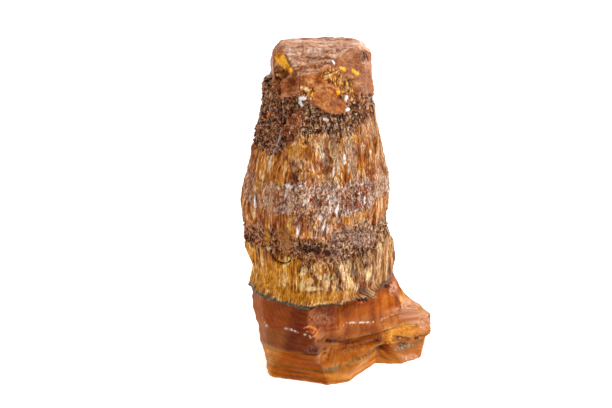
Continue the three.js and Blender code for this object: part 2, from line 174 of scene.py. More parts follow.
# Markings of the front, in millimetres of a chart as seen from 20 degrees above: across is X, and up is
# Z cos 20 + Y sin 20. Ovals: across, up, both radii, turn, how proud. Lines: width, how proud, gaps, points.
markings = {
    "chartTilt": 20,
    "ovals": {
        "brightYellow": [
            (-9.45, 53.06, 2.25, 0.94, -54, 0.05), (-10.44, 54.14, 0.9, 0.65, 0, 0.05),
            (0.99, 51.98, 0.83, 0.32, -25, 0.15), (3.24, 51.35, 0.72, 0.43, -35, 0.15),
            (0.27, 47.75, 0.47, 0.58, 0, 0.15), (0.99, 48.38, 0.32, 0.4, 0, 0.1),
            (-8.19, 51.71, 0.5, 0.47, 0, 0.1), (-5.31, 48.29, 0.76, 0.36, -30, 0.1),
            (-4.59, 47.3, 0.29, 0.36, 0, 0.1),
        ],
        "darkUpper": [
            (2.97, 46.04, 1.26, 1.62, 10, -0.1), (-5.85, 47.3, 1.44, 0.99, -20, -0.05),
            (-12.15, 47.3, 0.72, 1.08, 0, -0.05), (5.31, 45.32, 1.62, 1.26, 0, 0),
        ],
        "ochreMottle": [
            (-10.26, 51.08, 1.62, 1.62, 0, -0.1), (-11.79, 49.64, 0.72, 0.9, 0, -0.1),
            (-0.45, 50.36, 2.16, 1.44, -25, -0.1), (1.89, 48.38, 1.71, 2.34, 10, -0.15),
            (-1.35, 51.26, 1.44, 0.81, 20, 0), (-4.95, 48.02, 1.26, 0.72, -30, 0),
        ],
        "blockBrown": [
            (-10.71, 55.76, 1.17, 1.62, 20, 0), (-11.43, 53.96, 0.54, 2.52, 0, 0),
            (-9.99, 48.92, 1.44, 1.44, 0, 0.1),
        ],
        "tongueBrown": [
            (-3.33, 51.98, 3.6, 0.79, -4, 0),
        ],
        "warmJasper": [
            (-2.79, 7.34, 2.52, 1.62, 0, 0),
        ],
        # Painted shade on the lower block's face turned from the light, in the red jasper shade.
        "redJasper": [
            (9.09, 1.4, 1.62, 1.62, -25, 0),
        ],
        "strawStreak": [
            (-1.17, 50.9, 1.53, 0.2, 24, 0.12), (-1.89, 50.18, 0.9, 0.14, 24, 0.1),
            (-0.27, 51.53, 0.9, 0.16, 20, 0.12), (1.71, 49.28, 0.22, 1.08, 12, 0.1),
            (0.63, 49.64, 0.2, 0.9, -10, 0.1),
        ],
        # White quartz specks, and painted glints on the fibres.
        "quartz": [
            (-6.12, 46.76, 0.65, 0.25, -8, 0.25), (-6.39, 45.86, 0.36, 0.79, 8, 0.25),
            (-4.23, 27.14, 0.25, 0.9, 4, 0.2), (-3.06, 25.7, 0.2, 1.08, 6, 0.2),
            (-1.71, 23.18, 0.2, 0.79, -8, 0.2), (-1.35, 27.86, 0.16, 0.72, 0, 0.15),
            (0.99, 25.7, 0.18, 0.97, 4, 0.15), (1.89, 27.14, 0.16, 0.72, 0, 0.15),
            (-7.47, 24.8, 0.18, 0.9, -4, 0.15), (-4.95, 25.34, 0.16, 0.9, 0, 0.15),
            (-0.59, 52.97, 0.22, 0.58, 18, 0.15), (1.62, 46.76, 0.4, 0.61, 0, 0.2),
            (1.89, 44.69, 0.43, 0.32, 20, 0.15), (-2.07, 42.98, 0.54, 0.32, 0, 0.15),
            (-3.51, 26.42, 0.54, 1.44, 10, 0.25), (-3.96, 25.52, 0.32, 0.47, 0, 0.15),
            (-2.34, 24.08, 0.32, 1.08, -14, 0.25), (-2.79, 25.34, 0.23, 0.63, 0, 0.15),
            (-0.09, 26.42, 0.27, 1.08, 5, 0.2), (0.27, 27.68, 0.18, 0.72, 0, 0.15),
            (-6.93, 23.54, 0.31, 1.35, -8, 0.25), (-5.67, 28.22, 0.22, 0.72, -35, 0.15),
            (-8.37, 31.1, 0.72, 0.29, -20, 0.15), (-7.29, 30.56, 0.29, 0.22, 0, 0.15),
            (-8.91, 30.38, 0.25, 0.18, 0, 0.15), (-6.39, 31.28, 0.29, 0.22, 0, 0.15),
            (5.13, 11.93, 0.36, 0.72, 0, 0.15), (-14.63, 28.22, 0.2, 1.53, 3, 0.15),
            (2.07, 34.34, 0.23, 0.99, 0, 0.15), (1.26, 35.78, 0.29, 1.08, 0, 0.15),
            (-2.43, 36.5, 0.32, 1.08, -5, 0.12), (-0.63, 33.8, 0.2, 0.9, -8, 0.12),
            (2.79, 28.22, 0.23, 0.81, 8, 0.12), (4.95, 28.58, 0.23, 0.72, 0, 0.12),
            (3.96, 30.02, 0.22, 0.65, 0, 0.12), (-6.21, 29.3, 0.4, 0.32, 0, 0.15),
            (-5.85, 46.4, 0.23, 0.2, 0, 0.2),
        ],
        "cream": [
            (0.99, 15.8, 0.47, 1.62, 12, 0.12), (-6.21, 15.62, 0.58, 0.72, 0, 0.1),
            (-4.95, 14.18, 0.72, 0.61, 0, 0.1), (-3.15, 14.9, 0.4, 0.54, 0, 0.1),
            (2.61, 13.82, 0.58, 1.08, 20, 0.1), (0.81, 16.88, 0.4, 1.08, 8, 0.1),
            (-5.85, 16.16, 0.61, 0.99, 0, 0.15), (-4.41, 12.83, 1.62, 0.43, 0, 0.1),
            (-6.39, 13.46, 0.61, 0.9, 0, 0.1), (-1.8, 13.64, 0.61, 0.72, 0, 0.1),
            (-5.31, 48.2, 0.76, 0.32, -25, 0.05), (-6.39, 48.65, 0.36, 0.22, -20, 0.05),
            (-6.12, 29.12, 0.5, 0.4, 0, 0.1), (-12.33, 20.12, 0.54, 0.65, 0, 0.12),
            (-14.85, 25.88, 0.36, 0.72, 0, 0.12), (-13.41, 17.6, 0.36, 1.08, 10, 0.1),
            (-9.45, 14, 0.36, 1.08, 0, 0.08), (6.03, 15.44, 0.45, 1.26, -10, 0.08),
            (-8.55, 24.08, 0.36, 1.26, 5, 0.1), (-9.63, 15.26, 0.29, 0.72, 0, 0.08),
        ],
        "jasperOrange": [
            (-12.33, 43.88, 0.54, 0.25, 30, 0.05), (4.41, 10.22, 0.9, 0.22, 12, 0.1),
            (-10.35, 44.33, 0.36, 0.25, 0, 0.05), (4.77, 46.22, 0.4, 0.25, 0, 0.05),
        ],
        # Painted shade in pits, hollows and under overhangs; the negative proud also sinks the relief there.
        "darkHole": [
            (-6.03, 20.03, 1.17, 0.72, 0, -0.2), (-3.51, 19.85, 1.08, 0.61, 0, -0.2),
            (5, 54.32, 0.41, 0.79, 0, -0.5), (0.54, 47.03, 0.43, 0.36, 0, -0.4),
            (4.59, 10.67, 0.99, 0.36, -8, -0.3), (3.69, 11.12, 0.54, 0.25, -10, -0.2),
            (9.36, 13.14, 0.9, 0.43, 28, -0.25), (10.17, 12.2, 0.29, 0.72, -30, -0.2),
            (5.49, 54.05, 0.27, 0.72, 10, -0.1), (14.67, 3.56, 0.54, 0.4, 0, -0.2),
            (12.15, 2.48, 1.08, 0.4, 8, -0.15), (-3.69, 1.94, 1.62, 0.61, 0, -0.1),
            (-0.99, 3.29, 1.62, 0.31, -8, -0.1), (11.25, 3.83, 1.44, 0.29, -10, -0.15),
            (-10.44, 50.18, 0.58, 0.47, 0, -0.25), (5.31, 16.88, 0.29, 0.9, -28, -0.2),
        ],
        "greyLip": [
            (4.68, 54.41, 0.54, 0.76, 0, 0), (12.33, 2.03, 1.62, 0.54, 8, 0),
            (-15.21, 12.47, 0.65, 1.17, -12, 0.05), (5.04, 12.83, 0.83, 0.83, 0, 0),
            (3.51, 15.53, 1.17, 0.58, -22, -0.05), (-13.95, 13.82, 0.45, 0.72, 0, 0),
            (-12.33, 11.3, 0.72, 0.36, -12, 0),
        ],
        # Painted shadow in hollows and under overhanging edges.
        "purpleShade": [
            (-3.87, 1.94, 2.34, 0.9, 0, 0), (0.27, 3.56, 2.7, 0.61, -8, 0),
            (11.79, 3.38, 1.8, 0.61, 0, 0), (-8.19, 52.88, 0.43, 1.44, 38, -0.1),
            (-0.27, 46.04, 0.99, 1.08, 35, -0.05), (-1.89, 52.88, 1.44, 0.29, -6, -0.05),
        ],
        "ledgeJasper": [
            (2.43, 1.76, 3.6, 0.65, 12, 0),
        ],
        # Painted sheen on faces that turn to the right and up.
        "paleFace": [
            (13.41, 9.5, 1.8, 3.06, -35, 0), (16.11, 6.62, 1.26, 1.98, 0, 0),
            (13.41, 0.14, 1.62, 0.54, 0, 0), (10.71, 13.1, 0.72, 1.8, -30, 0),
        ],
        "yellowFibre": [
            (-7.11, 37.4, 2.16, 1.62, 0, 0), (-11.43, 15.26, 2.52, 2.34, 0, 0),
            (-1.17, 11.3, 4.32, 0.99, 8, 0), (-9.27, 12.02, 3.96, 1.08, -14, 0),
            (-13.41, 13.64, 1.62, 1.26, 0, 0), (-14.13, 31.28, 0.72, 1.08, 0, 0),
            (-8.19, 24.26, 0.9, 2.16, 0, 0), (2.43, 25.52, 4.32, 0.72, 8, 0),
            (-12.69, 21.92, 0.72, 1.62, 0, 0),
        ],
        "redFibre": [
            (-5.49, 24.8, 2.16, 1.8, 0, 0), (-3.69, 27.86, 1.08, 1.62, 0, 0),
            (4.59, 14, 0.54, 1.62, 20, 0), (-1.71, 34.52, 0.9, 1.62, 10, 0),
            (6.39, 33.44, 0.9, 1.44, 0, 0), (-4.77, 21.38, 2.34, 0.61, 0, 0),
            (-4.59, 18.41, 2.7, 0.61, 0, 0), (2.79, 27.86, 2.16, 1.08, 0, 0),
            (4.59, 30.56, 1.44, 0.9, 0, 0),
        ],
        "tanFibre": [
            (2.79, 35.96, 1.08, 3.96, 0, 0), (-0.27, 37.76, 0.54, 2.88, 12, 0),
            (-12.33, 28.76, 0.72, 3.24, 0, 0), (7.83, 32.36, 0.9, 2.88, 0, 0),
            (6.03, 41.36, 1.44, 2.34, 0, 0), (8.73, 37.76, 0.72, 2.88, 0, 0),
            (-2.07, 35.6, 0.72, 1.8, 0, 0),
        ],
        "lilacWash": [
            (1.17, 22.28, 3.06, 1.8, 0, 0), (5.13, 21.56, 2.52, 1.8, 10, 0),
            (-0.45, 19.4, 1.62, 1.8, 0, 0),
        ],
        "smoothBrown": [
            (-9.45, 21.2, 1.51, 3.42, 4, 0.15),
        ],
        "rustPatch": [
            (-4.41, 17.6, 2.7, 1.26, 0, 0), (-4.95, 26.42, 2.16, 1.44, 0, 0),
        ],
    },
    "lines": {
        "purpleVein": [
            (0.23, -0.12, 0, [(-9.27, 54.5), (-8.64, 53.24), (-8.01, 52.16), (-7.2, 50.9)]),
            (0.18, -0.12, 0, [(-6.39, 47.12), (-6.75, 48.56), (-6.57, 50.36), (-6.39, 52.34)]),
        ],
        # A painted glint along a raised ridge.
        "silver": [
            (0.23, 0.1, 0.5, [(-9.99, 41.36), (-10.26, 39.74), (-11.07, 37.94), (-11.79, 36.32),
                (-12.06, 34.52)]),
        ],
        "darkCrack": [
            (0.32, -0.4, 0.35, [(-11.97, 19.76), (-11.61, 18.86), (-11.07, 17.96), (-10.17, 17.42),
                (-9.09, 17.42), (-8.19, 17.87)]),
            (0.27, -0.3, 0.2, [(-13.41, 20.3), (-12.51, 20.57), (-11.61, 20.3), (-10.89, 19.58)]),
            (0.16, -0.12, 0, [(-2.61, 50.63), (-1.35, 51.08), (0.09, 51.71)]),
            (0.16, -0.15, 0, [(4.41, 18.5), (4.77, 17.42), (5.31, 16.16)]),
            (0.18, -0.12, 0, [(-6.57, 8.78), (-5.49, 8.24), (-4.59, 7.52), (-3.69, 6.44), (-2.97, 5.18)]),
            (0.18, -0.1, 0, [(-6.03, 1.13), (-4.05, 0.95), (-1.89, 1.31)]),
            (0.2, -0.08, 0.5, [(2.43, -0.31), (3.87, -0.13), (4.95, 0.41), (6.03, 1.04)]),
            (0.13, -0.08, 0, [(11.16, 11.48), (11.79, 8.96), (12.46, 6.26)]),
        ],
        # A painted highlight along the scallop's arc.
        "orangeCurl": [
            (0.22, 0.15, 0.2, [(-5.85, 5.81), (-4.95, 6.08), (-4.05, 5.72), (-3.33, 5.09),
                (-3.87, 4.46), (-4.77, 3.92)]),
            (0.16, 0.1, 0.2, [(-5.49, 5.18), (-4.59, 5), (-3.87, 5.18)]),
        ],
        "redHair": [
            (0.14, -0.06, 0.3, [(-6.21, 56.84), (-6.03, 55.76), (-6.12, 54.5)]),
            (0.14, -0.06, 0, [(-2.79, 6.08), (0.09, 6.26)]),
            (0.13, -0.05, 0, [(-2.61, 5.36), (0.09, 5.54)]),
            (0.13, -0.06, 0, [(0.27, 10.58), (0.27, 5.36)]),
            (0.14, -0.06, 0, [(-6.03, 5.63), (-4.41, 5.27), (-2.61, 5), (-0.09, 5.36)]),
            (0.13, -0.05, 0, [(-11.97, 5.81), (-9.63, 5.9)]),
        ],
        "whiteDots": [
            (0.2, 0.06, 0.8, [(-9.36, 5.72), (-8.01, 5.45), (-6.57, 4.82), (-5.49, 4.55), (-4.41, 4.07)]),
            (0.18, 0.06, 0.8, [(1.17, 6.08), (1.71, 6.53), (2.79, 6.59), (4.59, 6.55), (7.11, 6.59)]),
            (0.18, 0.05, 1, [(8.01, 6.89), (9.27, 7.52), (10.35, 7.97), (11.34, 8.33)]),
            (0.18, 0.05, 1, [(-13.41, 7.52), (-12.69, 6.26), (-12.33, 5.81)]),
        ],
        "greyStreak": [
            (0.32, -0.05, 0.4, [(-2.61, -1.75), (-0.27, -1.48), (2.07, -0.85), (3.87, 0.14),
                (5.67, 0.95), (7.83, 2.03)]),
        ],
    },
}

lattice = np.random.default_rng(41).random(64 ** 3).astype(np.float32)


# Value noise: random numbers stand at whole coordinates, and between them the nearest eight are mixed by
# 3t^2 - 2t^3 of the way along each axis. From 0 to 1.
def valueNoise(x, y, z, seed):
    corner, share = [], []
    for value, step in ((x, 17.31), (y, 7.77), (z, 29.13)):
        value = value + seed * step
        whole = np.floor(value)
        part = value - whole
        corner.append(whole.astype(np.int64))
        share.append(part * part * (3 - 2 * part))
    total = 0
    for step in range(8):
        weight, index = 1, 0
        for axis, bit in enumerate((step >> 2 & 1, step >> 1 & 1, step & 1)):
            weight = weight * (share[axis] if bit else 1 - share[axis])
            index = index * 64 + (corner[axis] + bit & 63)
        total = total + weight * lattice[index]
    return total


# The same noise with cells of one width across and another length up the stone.
def grainNoise(point, across, up, seed):
    return valueNoise(point[0] / across, point[1] / across, point[2] / up, seed)


# The lower or higher of two depths, rounded where they cross: the difference within the width is squared,
# a quarter of it by the width is taken off.
def lower(first, second, width):
    near = np.maximum(width - np.abs(first - second), 0)
    return np.minimum(first, second) - near * near / (4 * width)


def higher(first, second, width):
    return -lower(-first, -second, width)


# A direction from azimuth and elevation: cosines in the ground plane, the sine upward.
def towards(azimuth, elevation):
    around, rise = math.radians(azimuth), math.radians(elevation)
    return np.array([math.cos(rise) * math.cos(around), math.cos(rise) * math.sin(around), math.sin(rise)])


# Depth of a point behind a plane: how far it lies back from the plane's point along the outward direction.
def behindPlane(x, y, z, plane):
    throughX, throughY, throughZ, azimuth, tilt = plane
    around, rise = math.radians(azimuth), math.radians(tilt)
    return (
        (throughX - x) * (math.cos(rise) * math.cos(around))
        + (throughY - y) * (math.cos(rise) * math.sin(around))
        + (throughZ - z) * math.sin(rise)
    )


# Depth in an ellipsoid's outside: the length of the scaled offset, less one, over its own gradient.
def outsideScoop(x, y, z, scoop):
    middleX, middleY, middleZ, wide, deep, high, turn = scoop
    c, s = math.cos(math.radians(turn)), math.sin(math.radians(turn))
    a, b, h = x - middleX, y - middleY, z - middleZ
    a, b = (a * c + b * s) / wide, (b * c - a * s) / deep
    h = h / high
    length = np.sqrt(a * a + b * b + h * h)
    slope = np.sqrt((a / wide) ** 2 + (b / deep) ** 2 + (h / high) ** 2)
    return length * (length - 1) / np.maximum(slope, 1e-6)


# Depth in a plate: the least of the depths behind its outer face, before its back and inside its outline.
# The outline's depth is the distance to its nearest side, which counts as negative outside.
def insidePlate(x, y, z, plate):
    through, azimuth, tilt, thick, outline = plate
    around, rise = math.radians(azimuth), math.radians(tilt)
    a, b, h = x - through[0], y - through[1], z - through[2]
    flat = a * math.cos(around) + b * math.sin(around)
    out = flat * math.cos(rise) + h * math.sin(rise)
    across = b * math.cos(around) - a * math.sin(around)
    up = h * math.cos(rise) - flat * math.sin(rise)
    corners = np.array(outline).reshape(-1, 2)
    nearest, inside = 1e9, np.zeros(x.shape, bool)
    for (ax, ay), (bx, by) in zip(corners, np.roll(corners, -1, 0)):
        along = ((across - ax) * (bx - ax) + (up - ay) * (by - ay)) / ((bx - ax) ** 2 + (by - ay) ** 2)
        along = np.clip(along, 0, 1)
        gap = np.hypot(across - ax - along * (bx - ax), up - ay - along * (by - ay))
        nearest = np.minimum(nearest, gap)
        if ay != by:
            crossing = (ay > up) != (by > up)
            inside ^= crossing & (across < ax + (up - ay) * (bx - ax) / (by - ay))
    edge = np.where(inside, nearest, -nearest)
    return lower(lower(-out, edge + 0.35, 0.5), out + thick, 0.3)


# The fibre body's radius: a rounded polygon, the sum over its faces of (cosine to the face / its distance)
# to a high power, taken to the inverse power; then the ribs' waves are added and the crumbled bands taken off.
def bodyRadius(around, z):
    total = 0
    for azimuth, distances in stone["faces"].items():
        facing = np.maximum(np.cos(around - math.radians(azimuth)), 0)
        facing = facing / np.interp(z, stone["levels"], distances)
        square = facing * facing
        fourth = square * square
        total = total + fourth * fourth * fourth * square * facing
    radius = np.maximum(total, 1e-30) ** (-1 / stone["cornerSharpness"])
    for count, proud, lean, phase in stone["ribs"]:
        radius = radius + proud * np.cos(count * around + phase + lean * math.pi * z)
    for height, halfWidth, depth, azimuth in stone["crumbled"]:
        off = (z - height - np.cos(2 * around + 1)) / halfWidth
        facing = 0.6 + 0.4 * np.cos(around - math.radians(azimuth))
        radius = radius - depth * facing * np.exp(-(off ** 4))
    return radius


# Depth of a point in the stone: body and foot joined, the plates added, then cap faces, wedges and scoops
# struck off, each join and cut a rounded higher or lower of two depths. Slow waves bend the struck planes.
def stoneDepth(x, y, z, layout):
    wear = layout["wear"] * (1 + 0.5 * np.sin(2.1 * x + 1.3 * y) * np.sin(1.7 * z + 0.9 * x))
    bentX = x + 0.1 * np.sin(0.9 * z + 0.5 * y) + 0.05 * np.sin(2.3 * z + 1.9 * y)
    bentY = y + 0.1 * np.sin(0.8 * z - 0.6 * x + 1) + 0.05 * np.sin(2.7 * x - 1.3 * z)
    bentZ = z + 0.1 * np.sin(0.6 * x + 0.7 * y + 2) + 0.05 * np.sin(1.9 * x + 2.1 * y)
    foot = stone["footTop"] - z
    for plane in stone["footFaces"]:
        foot = lower(foot, behindPlane(bentX, bentY, bentZ, plane), wear)
    slope = [behindPlane(bentX, bentY, bentZ, plane) for plane in stone["footSlope"]]
    foot = lower(foot, higher(*slope, 0.2), wear)
    axisX, axisY = stone["axis"]
    radius = bodyRadius(np.arctan2(y - axisY, x - axisX), z)
    body = np.minimum(radius - np.hypot(x - axisX, y - axisY), z - stone["seam"])
    whole = higher(body, foot, 0.15)
    for plate in layout["plates"]:
        near = np.abs(x - plate[0][0]) + np.abs(z - plate[0][2]) + np.abs(y - plate[0][1]) < 13
        if near.any():
            joined = insidePlate(bentX[near], bentY[near], bentZ[near], plate)
            whole[near] = higher(whole[near], joined, layout["blend"])
    for plane in stone["capFaces"]:
        whole = lower(whole, behindPlane(bentX, bentY, bentZ, plane), wear)
    for planes in stone["wedges"]:
        kept = behindPlane(bentX, bentY, bentZ, planes[0])
        for plane in planes[1:]:
            kept = higher(kept, behindPlane(bentX, bentY, bentZ, plane), 0.2)
        whole = lower(whole, kept, wear)
    ledge = foot
    for plane in stone["crumblyLedge"]:
        ledge = lower(ledge, behindPlane(bentX, bentY, bentZ, plane), wear)
    whole = higher(whole, ledge, 0.15)
    for scoop in stone["scoops"]:
        whole = lower(whole, outsideScoop(bentX, bentY, bentZ, scoop), wear)
    return whole


# The surface along rays: from a start outside, each step goes on by most of the depth there, which is
# negative outside, so that the point comes to rest on the outermost surface between two heights.
def surfacePoints(fromX, fromY, fromZ, azimuth, rise, layout):
    alongX, alongY, alongZ = np.cos(rise) * np.cos(azimuth), np.cos(rise) * np.sin(azimuth), np.sin(rise)
    reach = np.full(azimuth.shape, 34.0)
    for _ in range(44):
        z = fromZ + reach * alongZ
        x, y = fromX + reach * alongX, fromY + reach * alongY
        depth = lower(stoneDepth(x, y, z, layout), layout["under"](x, y, z), layout["wear"])
        depth = lower(depth, layout["top"] - z, layout["wear"])
        reach = np.maximum(reach + 0.86 * depth, 0.2)
    return np.stack((fromX + reach * alongX, fromY + reach * alongY, fromZ + reach * alongZ), -1)


# Azimuths of the columns: even steps along the outline at some heights, closer in front. The outline's
# step lengths are summed, weighed by 1 + share * e^-((azimuth - front) / 75)^4, and cut in equal parts.
def columnAzimuths(layout):
    probe = np.radians(np.arange(-90, 270.01, 0.5))
    pace = 0
    for height in layout["outlineHeights"]:
        ring = surfacePoints(*layout["middle"], height, probe, probe * 0, layout)
        step = np.hypot(*np.diff(ring[:, :2], axis=0).T)
        pace = pace + np.minimum(step, 3 * np.median(step))
    front = np.degrees(probe[1:]) - 270
    front = (front + 180) % 360 - 180 - layout["frontTurn"]
    pace = pace * (1 + layout["frontShare"] * np.exp(-((front / 75) ** 4)))
    pace = np.convolve(np.concatenate((pace[-4:], pace, pace[:4])), np.full(9, 1 / 9), "valid")
    length = np.concatenate(([0], np.cumsum(pace)))
    return np.interp(np.arange(layout["columns"]) / layout["columns"] * length[-1], length, probe)


# A closed skin of the stone on a grid: parameter one goes round by azimuth, parameter two goes up, first
# by the rise of rays from the lowest origin, then by height, then by the rise of rays from the highest.
def stoneSkin(layout):
    azimuths = columnAzimuths(layout)
    low, high = layout["heights"][0], layout["heights"][-1]
    origin = [low] * len(layout["lowRises"]) + list(layout["heights"]) + [high] * len(layout["highRises"])
    rise = list(layout["lowRises"]) + [0] * len(layout["heights"]) + list(layout["highRises"])
    originGrid, azimuthGrid = np.meshgrid(np.array(origin, float), azimuths, indexing="ij")
    riseGrid = np.meshgrid(np.radians(rise), azimuths, indexing="ij")[0]
    x, y = layout["middle"]
    return surfacePoints(x, y, originGrid, azimuthGrid, riseGrid, layout)


# Directions out of a grid: the cross product of the step round and the step up, made one long. A quarter
# of its length is the share of area that belongs to a point.
def outOfGrid(grid):
    across = np.roll(grid, -1, 1) - np.roll(grid, 1, 1)
    up = np.gradient(grid, axis=0) * 2
    out = np.cross(across, up)
    length = np.linalg.norm(out, axis=-1)
    return out / np.maximum(length, 1e-9)[..., None], length / 4, across / 2, up / 2


# How hemmed in a surface is: a step out of it, the stone lies nearer than that step where there is a hollow. It gives
# the share of painted shade in hollows.
def hollowness(grid, out, layout, step):
    x, y, z = np.moveaxis(grid + out * step, -1, 0)
    return np.clip(1 + stoneDepth(x, y, z, layout) / step, 0, 1).ravel()


# How much of an edge a surface is: a step into it, the outside lies nearer than that step where it is sharp. It gives
# the share of painted highlight along edges.
def edginess(grid, out, layout, step):
    x, y, z = np.moveaxis(grid - out * step, -1, 0)
    return np.clip(1 - stoneDepth(x, y, z, layout) / step, 0, 1).ravel()


# Linear light of a shade: each channel runs through the shade's stops by the tone, from 0 to 1.
def shadeColour(name, tone):
    stops = (np.array(shades[name]) / 255.0) ** 2.2
    places = np.linspace(0, 1, len(stops))
    return np.stack([np.interp(tone, places, channel) for channel in stops.T], -1)


# A share from 0 to 1 that rises over a width where a value passes an edge.
def above(value, edge, width):
    return np.clip((value - edge) / width + 0.5, 0, 1)


# Value at an azimuth in degrees, straight between the azimuths of a table and round through north.
def aroundTable(table, azimuth):
    return np.interp(azimuth, list(table), list(table.values()), period=360)


# Inside an oval of the chart: the offset over the radii, roughened, is 1 at the rim.
def ovalShare(across, up, oval, rough):
    middleAcross, middleUp, wide, high, turn, _ = oval
    c, s = math.cos(math.radians(turn)), math.sin(math.radians(turn))
    a, b = across - middleAcross, up - middleUp
    distance = np.hypot((a * c + b * s) / wide, (b * c - a * s) / high)
    return np.clip((1.05 - distance - rough) / 0.3, 0, 1)


# Along a line of the chart: the distance to its nearest piece, against half its width, roughened.
def lineShare(across, up, line, rough, gapNoise):
    width, _, gaps, points = line
    nearest = np.full(across.shape, 1e9)
    for (ax, ay), (bx, by) in zip(points, points[1:]):
        along = ((across - ax) * (bx - ax) + (up - ay) * (by - ay)) / ((bx - ax) ** 2 + (by - ay) ** 2)
        along = np.clip(along, 0, 1)
        nearest = np.minimum(nearest, np.hypot(across - ax - along * (bx - ax), up - ay - along * (by - ay)))
    share = np.clip((width / 2 - nearest + rough * width * 0.6) / 0.12 + 0.5, 0, 1)
    return share * np.clip((gapNoise - 0.45 * gaps) / 0.15 + 1 - gaps, 0, 1)


# Lays the chart's markings over a surface that faces the front: colours are mixed in by each marking's
# share, and the relief gains its share of how proud the marking stands.
def layMarkings(points, out, colour, relief, gloss):
    covered = np.zeros(len(colour))
    point = points.reshape(-1, 3).T
    tilt = math.radians(markings["chartTilt"])
    across, up = point[0], point[2] * math.cos(tilt) + point[1] * math.sin(tilt)
    facing = (-out[..., 1] * math.cos(tilt) + out[..., 2] * math.sin(tilt)).ravel()
    seen = above(facing, 0.12, 0.1) * above(-point[1], -6.5, 0.5)
    rough = (grainNoise(point, 0.55, 0.7, 61) - 0.5) * 0.9 + (grainNoise(point, 0.24, 0.35, 62) - 0.5) * 0.6
    gapNoise = grainNoise(point, 0.4, 0.4, 63)
    tone = np.clip(0.5 + (grainNoise(point, 0.2, 0.3, 64) - 0.5) * 1.7 + 0.5 * (rough - 0.1), 0, 1)
    for kind, ovals in markings["ovals"].items():
        paint = shadeColour(kind, 0.5 + (tone - 0.5) * calmOf.get(kind, 1))
        for oval in ovals:
            share = ovalShare(across, up, oval, rough) * seen * coverOf.get(kind, 1)
            colour[:] = colour + share[:, None] * (paint - colour)
            relief += share * (oval[5] - evenOf.get(kind, 0.5) * relief)
            gloss[:] = gloss + share * (glossOf.get(kind, 0.5) - gloss)
            covered = np.maximum(covered, share * clearOf.get(kind, 0.9))
    for kind, lines in markings["lines"].items():
        paint = shadeColour(kind, tone)
        for line in lines:
            share = lineShare(across, up, line, rough, gapNoise) * seen
            colour[:] = colour + share[:, None] * (paint - colour)
            relief += share * line[1]
            covered = np.maximum(covered, 0.9 * share)
    return covered


coverOf = {"lilacWash": 0.35, "smoothBrown": 0.8, "rustPatch": 0.8, "ochreMottle": 0.9, "purpleShade": 0.6,
           "cream": 0.75, "greyLip": 0.8, "darkHole": 0.85, "darkUpper": 0.85, "blockBrown": 0.85, "tongueBrown": 0.4, "warmJasper": 0.6, "paleFace": 0.75,
           "yellowFibre": 0.7, "tanFibre": 0.6, "redFibre": 0.75, "ledgeJasper": 0.8, "redJasper": 0.9}
glossOf = {"quartz": 0.16, "silver": 0.3, "brightYellow": 0.5, "darkHole": 0.7}
calmOf = {"smoothBrown": 0.45, "brightYellow": 0.7}  # how strong the changes of tone are
evenOf = {"smoothBrown": 0.9, "lilacWash": 0, "rustPatch": 0, "yellowFibre": 0.3, "tanFibre": 0, "redFibre": 0.2,
          "quartz": 0.8, "paleFace": 0, "warmJasper": 0, "blockBrown": 0}  # how far the relief is evened out
clearOf = {"darkHole": 0.25, "yellowFibre": 0.5, "tanFibre": 0, "redFibre": 0.3, "lilacWash": 0, "rustPatch": 0.3, "cream": 0.6, "ochreMottle": 0.5}  # how bare of splinters


# A mesh from corners given as arrays: faces of three, then faces of four.
def arrayMesh(name, points, triangles, quads, smooth):
    mesh = bpy.data.meshes.new(name)
    mesh.vertices.add(len(points))
    mesh.vertices.foreach_set("co", np.asarray(points, np.float32).ravel())
    corners = np.concatenate((triangles.ravel(), quads.ravel())).astype(np.int32)
    sizes = np.concatenate((np.full(len(triangles), 3), np.full(len(quads), 4)))
    mesh.loops.add(len(corners))
    mesh.loops.foreach_set("vertex_index", corners)
    mesh.polygons.add(len(sizes))
    mesh.polygons.foreach_set("loop_start", np.concatenate(([0], np.cumsum(sizes)[:-1])).astype(np.int32))
    mesh.polygons.foreach_set("use_smooth", np.broadcast_to(smooth, len(sizes)))
    mesh.update(calc_edges=True)
    return mesh


# Makes a piece from a mesh with a colour and a roughness at each point, and hands it to the frame.
def placePiece(mesh, colour, gloss, material):
    tint = mesh.color_attributes.new("stoneTint", "FLOAT_COLOR", "POINT")
    tint.data.foreach_set("color", np.column_stack((colour, np.ones(len(colour)))).astype(np.float32).ravel())
    rough = mesh.attributes.new("stoneRough", "FLOAT", "POINT")
    rough.data.foreach_set("value", np.asarray(gloss, np.float32))
    mesh.materials.append(material)
    piece = bpy.data.objects.new(mesh.name, mesh)
    bpy.context.collection.objects.link(piece)
    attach(piece, bodyName)
    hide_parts(nodeName)
    return piece


# Metres in the part's frame, from millimetres in the drawn one.
def placed(points):
    return (points - np.array([*stone["drawnMiddle"], 0])) * millimetre


# A grid closed round its columns becomes a mesh with a pole at each end, the mean of the end row.
def gridMesh(name, grid, smooth):
    rows, columns = grid.shape[:2]
    points = np.concatenate((grid.reshape(-1, 3), [grid[0].mean(0)], [grid[-1].mean(0)]))
    index = np.arange(rows * columns).reshape(rows, columns)
    after = np.roll(index, -1, 1)
    quads = np.stack((index[:-1], after[:-1], after[1:], index[1:]), -1).reshape(-1, 4)
    low = np.full(columns, rows * columns)
    foot = np.stack((low, after[0], index[0]), -1)
    head = np.stack((low + 1, index[-1], after[-1]), -1)
    return arrayMesh(name, placed(points), np.concatenate((foot, head)), quads, smooth)


# Colours at the grid's points and at its two poles.
def withPoles(values, shape):
    grid = values.reshape(shape + values.shape[1:])
    return np.concatenate((values, [grid[0].mean(0)], [grid[-1].mean(0)]))


